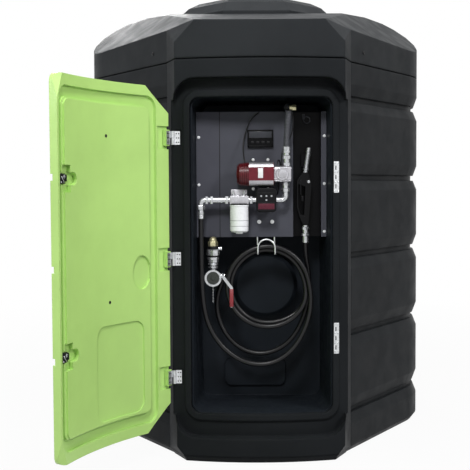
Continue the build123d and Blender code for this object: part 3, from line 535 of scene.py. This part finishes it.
# Pump: bands round its end cap, silver rails along the motor, a bare label and a bolted cover
PUMP_Z = 1.382
MOTOR_LEFT = -0.054
MOTOR_RIGHT = 0.067
MOTOR_HALF = 0.056
MOTOR_ROUND = 0.028
CAP_RADIUS = 0.057
CAP_END_RADIUS = 0.052
CAP_TAPER = 0.045
CAP_LENGTH = 0.056
TO_LEFT = (-1, 0, 0)
# The cap's raised rims and its end boss take the casting's lighter red: painted highlight on them
ribs_and_highlight = Work()
for along in (0.004, 0.014, 0.024, 0.034):
    radius = CAP_RADIUS - (CAP_RADIUS - CAP_END_RADIUS) * along / CAP_TAPER
    ribs_and_highlight.turn([(0, radius - 0.002), (0.001, radius + 0.0012), (0.003, radius + 0.0012),
                    (0.004, radius - 0.002)],
                   axis_frame((MOTOR_LEFT - along, PIPE_Y, PUMP_Z), TO_LEFT), 64)
ribs_and_highlight.turn([(0, 0.020), (0.002, 0.019), (0.003, 0.012)],
               axis_frame((MOTOR_LEFT - CAP_LENGTH + 0.0005, PIPE_Y, PUMP_Z), TO_LEFT), 32)
ribs_and_highlight.done("pump_cap_ribs_painted_highlight", RED)


def section_point(height, proud):
    """Point at a height on the front of the motor's rounded section, or outside it by proud."""
    centre = MOTOR_HALF - MOTOR_ROUND
    if abs(height) <= centre:
        return (PIPE_Y - MOTOR_HALF - proud, PUMP_Z + height)
    side = math.copysign(1, height)
    angle = math.asin(min(1.0, (abs(height) - centre) / MOTOR_ROUND))
    reach = MOTOR_ROUND + proud
    return (PIPE_Y - centre - reach * math.cos(angle),
            PUMP_Z + side * (centre + reach * math.sin(angle)))


rails = Work()
for low, high, proud in ((0.034, 0.056, 0.0018), (-0.034, -0.031, 0.0024),
                         (-0.041, -0.038, 0.0024), (-0.048, -0.045, 0.0024),
                         (-0.056, -0.031, 0.0008)):
    heights = [low + (high - low) * step / 8 for step in range(9)]
    outline = [section_point(height, proud) for height in heights]
    outline += [section_point(height, -0.001) for height in reversed(heights)]
    rails.strip(outline, MOTOR_LEFT + 0.002, MOTOR_RIGHT - 0.002)
rails.done("pump_rails", SILVER)

label = Work()
label.block(facing_front(0.003, PIPE_Y - MOTOR_HALF, 1.387), (0.024, 0.048, 0.0008), 0.0003)
label.done("pump_label", LABEL)

HEAD_FRONT = PIPE_Y - 0.039
COVER_BOLTS_RADIUS = 0.0275
cover = Work()
cover_frame = facing_front(0.108, HEAD_FRONT, PUMP_Z)
cover.turn([(0, 0.031), (0.004, 0.031), (0.006, 0.029), (0.006, 0.021), (0.009, 0.019),
            (0.010, 0.012)], cover_frame, 48)
for quarter in range(4):
    angle = math.radians(45 + 90 * quarter)
    cover.screw(moved(cover_frame, COVER_BOLTS_RADIUS * math.cos(angle),
                      COVER_BOLTS_RADIUS * math.sin(angle), 0.0055), 0.006)
for z in (1.349, 1.359, 1.399, 1.409):
    cover.block(facing_front(0.110, HEAD_FRONT + 0.001, z), (0.080, 0.003, 0.003), 0.0008)
cover.done("pump_cover", SILVER)

# Nuts and collars along the pipes, as (place, distance across, height)
SUCTION_X = 0.131
OUTLET_X = 0.126
LINE_Z = 1.257
nuts = Work()
for z, across, height in ((1.424, 0.036, 0.014), (1.455, 0.038, 0.018), (1.484, 0.036, 0.014),
                          (1.500, 0.033, 0.016)):
    nuts.nut(upright(SUCTION_X, PIPE_Y, z), across, height, 8)
for z, across, height in ((1.296, 0.036, 0.018), (1.326, 0.033, 0.014)):
    nuts.nut(upright(OUTLET_X, PIPE_Y, z), across, height)
for x, across, height in ((-0.264, 0.036, 0.013), (-0.240, 0.036, 0.013),
                          (-0.168, 0.036, 0.016), (-0.048, 0.034, 0.014)):
    nuts.nut(to_right(x, PIPE_Y, LINE_Z), across, height)
nuts.nut(upright(ELBOW_X, PIPE_Y, 1.212), 0.036, 0.020)
nuts.turn([(0, 0.0125), (0.001, 0.0152), (0.004, 0.0152), (0.006, 0.0143), (0.010, 0.0143),
           (0.011, 0.0152), (0.015, 0.0152), (0.017, 0.0143), (0.021, 0.0143), (0.022, 0.0162),
           (0.032, 0.0162), (0.033, 0.0140)], upright(ELBOW_X, PIPE_Y, NIPPLE_LOW - 0.006), 32)
nuts.done("pipe_nuts", STEEL)

# Suction pipe: a ribbed tube that leans a little and turns back into the wall, with a brass branch
SUCTION_LOW = 1.500
SUCTION_TOP = 1.714
SUCTION_END_Y = -0.776
SUCTION_BEND = 0.045
SUCTION_LEAN = 0.010
RIB_PITCH = 0.0045
RIB_RADIUS = 0.0150
GROOVE_RADIUS = 0.0138
suction = Work()
rise = SUCTION_TOP - SUCTION_BEND - SUCTION_LOW
corner = SUCTION_BEND * math.pi / 2
back = SUCTION_END_Y - PIPE_Y - SUCTION_BEND
length = rise + corner + back
half_ribs = 2 * round(length / RIB_PITCH)
rings = []
for index in range(half_ribs + 1):
    gone = length * index / half_ribs
    turn = min(1.0, max(0.0, (gone - rise) / corner)) * math.pi / 2
    lean = SUCTION_LEAN * min(1.0, gone / rise) ** 2
    lean *= 1 - max(0.0, gone - rise) / (corner + back)
    y = PIPE_Y + SUCTION_BEND * (1 - math.cos(turn)) + max(0.0, gone - rise - corner)
    z = SUCTION_LOW + min(gone, rise) + SUCTION_BEND * math.sin(turn)
    radius = RIB_RADIUS if index % 2 else GROOVE_RADIUS
    forward = Vector((1, 0, 0)).cross(Vector((0, -math.sin(turn), math.cos(turn))))
    rings.append(suction.ring_of(
        Vector((SUCTION_X + lean + radius * math.cos(angle), y, z))
        + forward * -radius * math.sin(angle) for angle in circle_angles(24)))
suction.skin(rings)
suction_tube = suction.done("suction_tube", SUCTION, degrees=60)
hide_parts("suction_pipe")
BRANCH_Y = PIPE_Y + 0.004
BRANCH_Z = 1.704
branch = Work()
branch.nut(to_right(0.160, BRANCH_Y, BRANCH_Z), 0.026, 0.018)
branch.turn([(0, 0.009), (0, 0.012), (0.020, 0.012), (0.022, 0.009)],
            to_right(0.146, BRANCH_Y, BRANCH_Z), 24)
branch.done("suction_branch", BRASS)

# Filter: clamping bolts on its head, a rolled seam, the nut at its foot, a gasket that paints the
# shade under the head, and faint bands
FILTER_X = -0.100
clamps = Work()
for x in (-0.127, -0.076):
    clamp_frame = upright(x, PIPE_Y, 1.278)
    clamps.nut(clamp_frame, 0.013, 0.008)
    clamps.turn([(0.008, 0.004), (0.024, 0.004), (0.025, 0.0032)], clamp_frame, 16)
clamps.done("filter_bolts", STEEL)

seam = Work()
seam.turn([(0, 0.0448), (0.002, 0.0466), (0.007, 0.0466), (0.009, 0.0448)],
          upright(FILTER_X, PIPE_Y, 1.2245), 64)
seam.turn([(0, 0.016), (0.002, 0.018), (0.008, 0.018), (0.010, 0.016)],
          upright(FILTER_X, PIPE_Y, 1.0925), 8)
seam.done("filter_seam", WHITE)

# A black ring for the gasket, which also paints the shade in the gap under the head
gasket = Work()
gasket.turn([(0, 0.034), (0, 0.0455), (0.001, 0.0464), (0.006, 0.0464), (0.007, 0.0455),
             (0.007, 0.034)], upright(FILTER_X, PIPE_Y, 1.2335), 64)
gasket.done("filter_gasket_and_gap_shade", TRIM)

bands = Work()
for z in (1.129, 1.156):
    bands.turn([(0, 0.0449), (0.0004, 0.0453), (0.0026, 0.0453), (0.003, 0.0449)],
               upright(FILTER_X, PIPE_Y, z), 64)
bands.done("filter_bands", BUTTON)

# Meter: four buttons, a burgundy strip below them and two rims
METER_X = 0.031
DIAL_Y = -1.117
buttons = Work()
for x, z in ((0.006, 1.276), (METER_X, 1.276), (0.056, 1.276), (METER_X, 1.257)):
    buttons.turn([(0, 0.0048), (0.0012, 0.0048), (0.002, 0.0038)],
                 facing_front(x, DIAL_Y, z), 24)
buttons.done("meter_buttons", BUTTON)
strip = Work()
strip.block(facing_front(METER_X, DIAL_Y, 1.226), (0.078, 0.028, 0.0012), 0.0005)
strip.done("meter_strip", BURGUNDY)
rim = Work()
for z in (1.291, 1.244):
    rim.block(facing_front(METER_X, DIAL_Y, z), (0.080, 0.0025, 0.0016), 0.0006)
rim.done("meter_rims", TRIM)

# Level display: a frame with a bar across it, a grey screen and keys
DISPLAY_X = 0.006
DISPLAY_Z = 1.558
DISPLAY_Y = PANEL_Y - 0.014
bezel = Work()
for x, z, width, height in ((0, 0.0385, 0.124, 0.006), (0, -0.0385, 0.124, 0.006),
                            (0, 0.001, 0.124, 0.004), (-0.059, 0, 0.006, 0.082),
                            (0.059, 0, 0.006, 0.082)):
    bezel.block(facing_front(DISPLAY_X + x, DISPLAY_Y, DISPLAY_Z + z), (width, height, 0.003),
                0.001)
bezel.done("display_bezel", INK)
screen = Work()
screen.block(facing_front(DISPLAY_X, DISPLAY_Y, DISPLAY_Z + 0.019), (0.111, 0.031, 0.0012),
             0.0004)
screen.done("display_screen", GLASS)
keys = Work()
for x in (-0.039, -0.013, 0.013, 0.039):
    keys.block(facing_front(DISPLAY_X + x, DISPLAY_Y, DISPLAY_Z - 0.018), (0.014, 0.010, 0.002),
               0.0008)
keys.done("display_keys", TRIM)

# Fill point: union nut, ribbed collars, a side stub, gaskets, the brass body at the bend, and the
# cap's disc, ears and chain
FILL_X = -0.230
FILL_Y = -1.015
collars = Work()
collars.nut(upright(FILL_X, FILL_Y, 0.984), 0.060, 0.030, 8)
collars.turn([(0, 0.024), (0.001, 0.0290), (0.012, 0.0290), (0.013, 0.024)],
             upright(FILL_X, FILL_Y, 0.962), 40)
collars.turn([(0, 0.014), (0, 0.020), (0.003, 0.024), (0.008, 0.024), (0.011, 0.019),
              (0.015, 0.019), (0.018, 0.025), (0.024, 0.025), (0.027, 0.021), (0.027, 0.014)],
             upright(FILL_X, FILL_Y, 0.920), 40)
collars.turn([(0, 0.008), (0.010, 0.008), (0.011, 0.010), (0.019, 0.010), (0.020, 0.007)],
             to_right(FILL_X + 0.024, FILL_Y, 1.018), 24)
collars.done("fill_collars", STEEL)

gaskets = Work()
for z, tall in ((0.9755, 0.008), (1.0145, 0.014)):
    gaskets.turn([(0, 0.020), (0, 0.0265), (0.002, 0.0275), (tall - 0.002, 0.0275),
                  (tall, 0.0265), (tall, 0.020)], upright(FILL_X, FILL_Y, z), 40)
gaskets.done("fill_gaskets", TRIM)

brass = Work()
brass.nut(upright(FILL_X, FILL_Y, 1.029), 0.043, 0.024)
brass.turn([(0, 0.015), (0, 0.0180), (0.002, 0.0205), (0.010, 0.0205), (0.013, 0.0180),
            (0.032, 0.0180), (0.036, 0.0165), (0.042, 0.0120), (0.046, 0.0060)],
           upright(FILL_X, FILL_Y, 1.030), 40)
brass.done("fill_brass", BRASS)

CAP_Z = 0.874
CAP_FRONT = -1.062
disc = Work()
disc.turn([(-0.008, 0.030), (-0.005, 0.031), (-0.003, 0.029), (-0.003, 0.012), (0.001, 0.010),
           (0.002, 0.006)], facing_front(FILL_X, CAP_FRONT, CAP_Z), 48)
for side in (1, -1):
    disc.block(frame_from((FILL_X + side * 0.0405, CAP_FRONT + 0.012, CAP_Z), (0, 1, 0),
                          (0, 0, 1), (side, 0, 0)), (0.014, 0.026, 0.006), 0.002)
disc.done("cap_disc", DARK_CAP)

LINKS = 12
LINK_PITCH = 0.0067
DOWN = Vector((0, 0, -1))
chain = Work()
for index in range(LINKS):
    across = Vector((0, 1, 0) if index % 2 else (1, 0, 0))
    centre = (FILL_X, CAP_FRONT + 0.008, CAP_Z - 0.044 - index * LINK_PITCH)
    chain.ring(frame_from(centre, DOWN, across, DOWN.cross(across)), 0.0022, 0.0008, 16, 6,
               stretch=0.0035)
chain.done("cap_chain", STEEL)

# Lever: nut on its pin, and the red sleeve on its lower arm
LEVER_X = -0.182
LEVER_Y = -1.069
LEVER_Z = 0.884
nut = Work()
nut.turn([(0, 0.0085), (0.001, 0.0085)], facing_front(LEVER_X, LEVER_Y - 0.0043, LEVER_Z), 24)
nut.nut(facing_front(LEVER_X, LEVER_Y - 0.0053, LEVER_Z), 0.013, 0.0065)
nut.done("lever_nut", STEEL, "valve_lever")

SLEEVE_X = -0.140
SLEEVE_Y = LEVER_Y - 0.002
SLEEVE_TOP = 0.822
SLEEVE_LOW = 0.733
SQUARENESS = 0.55


def squared(value):
    """Sine or cosine pushed outwards, so that a circle turns into a rounded box."""
    return math.copysign(abs(value) ** SQUARENESS, value)


sleeve = Work()
sleeve.skin([sleeve.ring_of((SLEEVE_X + squared(math.cos(angle)) * half_wide,
                             SLEEVE_Y + squared(math.sin(angle)) * half_thick, height)
                            for angle in circle_angles(24))
             for height, half_wide, half_thick in (
                 (SLEEVE_TOP, 0.0082, 0.0034), (SLEEVE_TOP - 0.002, 0.0096, 0.0048),
                 (SLEEVE_LOW + 0.006, 0.0098, 0.0050), (SLEEVE_LOW + 0.002, 0.0086, 0.0042),
                 (SLEEVE_LOW, 0.0056, 0.0026))])
sleeve.done("lever_sleeve", SLEEVE, "valve_lever", 50)

# Blanking screws in the cap's long facets
blanks = Work()
for side in (1, -1):
    blanks.screw(axis_frame((side * 0.526, -0.907, 1.988), (side * 0.840, -0.542, 0)), 0.018)
blanks.done("cap_blanks", TRIM)

# Strike plates: screws, and thin dark blocks that paint the shade in their slot openings
RECESS_DEPTH = 0.062
BEAD_RISE = 0.012
STRIKE_X = 0.367
STRIKE_THICK = 0.002
STRIKE_BACK_RADIUS = FRONT_RADIUS - RECESS_DEPTH + BEAD_RISE


def strike_frame(z):
    """Frame on a strike plate: X across, Y up, Z outwards."""
    y = FRONT_CENTRE_Y - math.sqrt(STRIKE_BACK_RADIUS ** 2 - STRIKE_X ** 2)
    out = Vector((STRIKE_X, y - FRONT_CENTRE_Y, 0)).normalized()
    origin = Vector((STRIKE_X, y, z)) + out * STRIKE_THICK
    return frame_from(origin, (-out.y, out.x, 0), (0, 0, 1), out)


screws = Work()
slot_shades = Work()
for z in (1.366, 0.587):
    plate = strike_frame(z)
    for side in (1, -1):
        for height in (0.066, 0.024, -0.024, -0.066):
            screws.screw(moved(plate, side * 0.0075, height, 0), 0.0065)
    # Painted shade: a thin dark block on the plate for each slot opening
    for height in (0.045, 0, -0.045):
        slot_shades.block(moved(plate, -0.003, height, 0), (0.005, 0.020, 0.0006), 0.0002)
screws.done("strike_screws", STEEL)
slot_shades.done("strike_slot_shades", TRIM)

# Door: screws of the hinges, cams and keepers of the latches, and two blanking plugs
DOOR_ANGLE = math.radians(-121)
HINGE_X = -0.418
HINGE_Y = -1.116
HINGE_HEIGHTS = (1.558, 0.974, 0.398)
HINGE_RADIUS = 0.007
HINGE_STAND_OFF = 0.002
HINGE_LEAF = 0.003
HINGE_SCREW = 0.0062
LATCH_U = 0.764
LATCH_HEIGHTS = (1.359, 0.605)
DOOR_INNER = 0.0415
DOOR_PAD = 0.050
HINGE = Vector((HINGE_X, HINGE_Y, 0))
DOOR_U = Vector((math.cos(DOOR_ANGLE), math.sin(DOOR_ANGLE), 0))
DOOR_V = Vector((-math.sin(DOOR_ANGLE), math.cos(DOOR_ANGLE), 0))
UP = Vector((0, 0, 1))


def door_frame(u, depth, height):
    """Frame on the door's inner side: X up, Y to the free edge, Z inwards."""
    across = -HINGE.x - u
    drop = FRONT_CENTRE_Y - HINGE.y
    v = drop - math.sqrt((FRONT_RADIUS - depth) ** 2 - across ** 2)
    inward = (DOOR_U * across + DOOR_V * (drop - v)).normalized()
    return frame_from(HINGE + DOOR_U * u + DOOR_V * v + UP * height, UP, inward.cross(UP), inward)


LEAF_Y = HINGE_Y + HINGE_RADIUS + HINGE_STAND_OFF - HINGE_LEAF
screws = Work()
door_screws = Work()
for z in HINGE_HEIGHTS:
    for high in (0.021, 0, -0.021):
        for along in (0.010, 0.021):
            screws.screw(facing_front(HINGE_X + HINGE_RADIUS + along, LEAF_Y, z + high),
                         HINGE_SCREW)
            seat = HINGE + DOOR_U * (0.015 + along) + DOOR_V * -0.006 + UP * (z + high)
            door_screws.screw(frame_from(seat, UP, DOOR_V.cross(UP), DOOR_V), HINGE_SCREW)
screws.done("hinge_frame_screws", TRIM)
door_screws.done("hinge_door_screws", TRIM, "door")

cams = Work()
keepers = Work()
for z in LATCH_HEIGHTS:
    face = door_frame(LATCH_U, DOOR_INNER, z)
    cams.turn([(0, 0.0085), (0.003, 0.0085), (0.004, 0.0065), (0.006, 0.006)],
              moved(face, 0.009, -0.010, 0), 24)
    cams.block(moved(face @ Matrix.Rotation(math.radians(38), 4, "Z"), -0.002, 0.004, 0),
               (0.034, 0.006, 0.004), 0.001)
    cams.screw(moved(face, -0.014, 0.014, 0), 0.008)
    keepers.block(moved(face, 0.003, -0.031, -0.013), (0.030, 0.012, 0.015), 0.002)
    keepers.block(face, (0.034, 0.010, 0.0035), 0.001)
cams.done("latch_cams", STEEL, "door")
keepers.done("latch_keepers", TRIM, "door")

plugs = Work()
for u, z in ((0.430, 1.552), (0.415, 0.802)):
    plugs.turn([(0, 0.0075), (0.0012, 0.0075), (0.0018, 0.006), (0.0008, 0.0035)],
               door_frame(u, DOOR_PAD, z), 24)
plugs.done("door_plugs", TRIM, "door")

# Spring clip with its ring in the nozzle bay
BAY_FLOOR = -0.953
clip = Work()
clip.ring(moved(facing_front(0.238, BAY_FLOOR, 1.652), 0, 0, 0.006), 0.016, 0.003, 40, 10)
clip.block(facing_front(0.222, BAY_FLOOR, 1.668), (0.014, 0.026, 0.009), 0.002)
clip.turn([(0, 0.006), (0.010, 0.006), (0.012, 0.004)],
          facing_front(0.222, BAY_FLOOR - 0.002, 1.662), 20)
clip.done("bay_clip", SUCTION)

# Three thin cables: from the pump up past the display, from the meter up to the pump, and from the
# top of the cabinet down beside the suction pipe to the pump
CABLES = {
    "pump_cable": [
        (-0.070, -1.070, 1.436), (-0.075, -1.062, 1.462), (-0.080, -1.040, 1.500),
        (-0.078, -1.020, 1.545), (-0.066, -1.012, 1.595), (-0.045, -1.012, 1.645),
        (-0.016, -1.010, 1.676), (0.012, -0.990, 1.694),
    ],
    "meter_cable": [
        (0.086, -1.070, 1.420), (0.088, -1.062, 1.448), (0.098, -1.045, 1.452),
        (0.104, -1.030, 1.425), (0.102, -1.022, 1.380), (0.096, -1.020, 1.335),
        (0.092, -1.024, 1.300), (0.088, -1.040, 1.282), (0.078, -1.060, 1.280),
    ],
    "feed_cable": [
        (0.148, -1.058, 1.700), (0.164, -1.054, 1.670), (0.166, -1.052, 1.620),
        (0.156, -1.052, 1.570), (0.132, -1.050, 1.530), (0.110, -1.052, 1.490),
        (0.106, -1.058, 1.440), (0.108, -1.064, 1.419),
    ],
}
CABLE_DIAMETER = 0.006
for name, points in CABLES.items():
    cable = cord_curve(name, points, CABLE_DIAMETER, TRIM)
    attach(cable, "tank")

# Softer edges where castings and mouldings have them
softened("pump_head", "pump_head_casting", SILVER, 0.003)
softened("flow_meter", "meter_housing", METER, 0.004)
softened("filter_head", "filter_head_casting", SILVER, 0.002)
softened("door_latches", "latch_housings", TRIM, 0.002, "door")

# Nozzle: its trigger, the ferrule and spring round its spout, and the nuts of its swivel
trigger = Work()
trigger.block(facing_front(0.2035, -1.010, 1.318), (0.006, 0.074, 0.012), 0.002)
trigger.block(facing_front(0.212, -1.016, 1.262), (0.010, 0.026, 0.006), 0.002)
trigger.done("nozzle_trigger", METER)

SPOUT = axis_frame((NOZZLE_X, NOZZLE_Y, 1.388), (0.146, 0, 0.989))
COIL_TILT = Matrix.Rotation(0.25, 4, "Y")
spring = Work()
spring.turn([(0, 0.009), (0.001, 0.0045), (0.003, 0.0035)], facing_front(0.243, -1.0165, 1.345),
            24)
spring.turn([(0, 0.0125), (0.012, 0.0125), (0.014, 0.0150), (0.020, 0.0150), (0.022, 0.0125),
             (0.030, 0.0125)], SPOUT, 32)
for along in (0.036, 0.045, 0.054, 0.063, 0.072, 0.081, 0.090, 0.099):
    spring.ring(moved(SPOUT, 0, 0, along) @ COIL_TILT, 0.0105, 0.0022, 32, 8)
spring.done("spout_spring", STEEL)

swivel = Work()
for z, across, height in ((1.049, 0.028, 0.010), (1.076, 0.036, 0.014), (1.108, 0.034, 0.014)):
    swivel.nut(upright(NOZZLE_X, NOZZLE_Y, z), across, height, 8)
swivel.turn([(0, 0.010), (0.001, 0.0150), (0.009, 0.0150), (0.010, 0.010)],
            upright(NOZZLE_X, NOZZLE_Y, 1.094), 32)
swivel_nuts = swivel.done("swivel_nuts", STEEL)

# Camera at the photograph's angle
camera_data = bpy.data.cameras.new("camera")
camera_data.lens = 75
camera_data.sensor_width = 36
camera = linked("camera", camera_data)
camera.location = (-0.12, -5.845, 1.32)
camera.rotation_euler = (math.radians(87.2), math.radians(0.3), 0)
bpy.context.scene.camera = camera


def softbox(name, location, target, size, energy):
    """Large soft lamp aimed at a point."""
    lamp = bpy.data.lights.new(name, "AREA")
    lamp.shape = "SQUARE"
    lamp.size = size
    lamp.energy = energy
    thing = linked(name, lamp)
    thing.location = location
    aim = Vector(target) - Vector(location)
    thing.rotation_euler = aim.to_track_quat("-Z", "Y").to_euler()


softbox("key", (-0.6, -6.2, 5.4), (-0.2, -1.0, 1.0), 1.2, 265)
softbox("right", (4.2, -4.4, 4.4), (-0.4, -1.1, 1.2), 1.2, 170)
softbox("top", (0.0, -1.2, 6.2), (0, -0.4, 0), 3.0, 220)
softbox("left", (-4.6, -3.0, 3.0), (0, 0, 1.2), 2.0, 90)
softbox("back", (-1.6, 5.4, 3.8), (0, 0, 1.2), 2.0, 170)


def shown_ray(tree):
    """One where the camera looks, straight, in a mirror or through glass, and nought elsewhere."""
    path = tree.nodes.new("ShaderNodeLightPath")
    total = path.outputs["Is Camera Ray"]
    for name in ("Is Glossy Ray", "Is Transmission Ray"):
        larger = tree.nodes.new("ShaderNodeMath")
        larger.operation = "MAXIMUM"
        tree.links.new(total, larger.inputs[0])
        tree.links.new(path.outputs[name], larger.inputs[1])
        total = larger.outputs[0]
    return total


# White backdrop, which lights the object only a little
world = bpy.data.worlds.new("studio")
bpy.context.scene.world = world
world.use_nodes = True
tree = world.node_tree
background = tree.nodes["Background"]
background.inputs["Color"].default_value = (1, 1, 1, 1)
tree.links.new(map_range(tree, shown_ray(tree), 0.12, 1.0), background.inputs["Strength"])

# Floor, white where the camera sees it, with the object's shadow
floor_shape = bmesh.new()
bmesh.ops.create_grid(floor_shape, x_segments=1, y_segments=1, size=150)
floor_mesh = mesh_from("floor", floor_shape)
floor = linked("floor", floor_mesh)
floor.location.z = -0.001
floor_material = bpy.data.materials.new("floor")
floor_material.use_nodes = True
floor_mesh.materials.append(floor_material)
tree = floor_material.node_tree
shader = tree.nodes["Principled BSDF"]
shader.inputs["Base Color"].default_value = (0.45, 0.45, 0.45, 1)
shader.inputs["Roughness"].default_value = 0.9
glow = tree.nodes.new("ShaderNodeEmission")
mix = tree.nodes.new("ShaderNodeMixShader")
# From 2 to 6 m away from the object the floor fades into the backdrop
away = tree.nodes.new("ShaderNodeVectorMath")
away.operation = "LENGTH"
tree.links.new(tree.nodes.new("ShaderNodeTexCoord").outputs["Object"], away.inputs[0])
share = tree.nodes.new("ShaderNodeMath")
share.operation = "MULTIPLY"
tree.links.new(shown_ray(tree), share.inputs[0])
tree.links.new(map_range(tree, away.outputs["Value"], 0.95, 1.0, 2.0, 6.0), share.inputs[1])
tree.links.new(share.outputs["Value"], mix.inputs["Fac"])
tree.links.new(shader.outputs["BSDF"], mix.inputs[1])
tree.links.new(glow.outputs["Emission"], mix.inputs[2])
tree.links.new(mix.outputs["Shader"], tree.nodes["Material Output"].inputs["Surface"])

bpy.context.scene.view_settings.view_transform = "Standard"

for node in nodes.values():
    if not node.hide_render:
        smooth_by_angle(node)
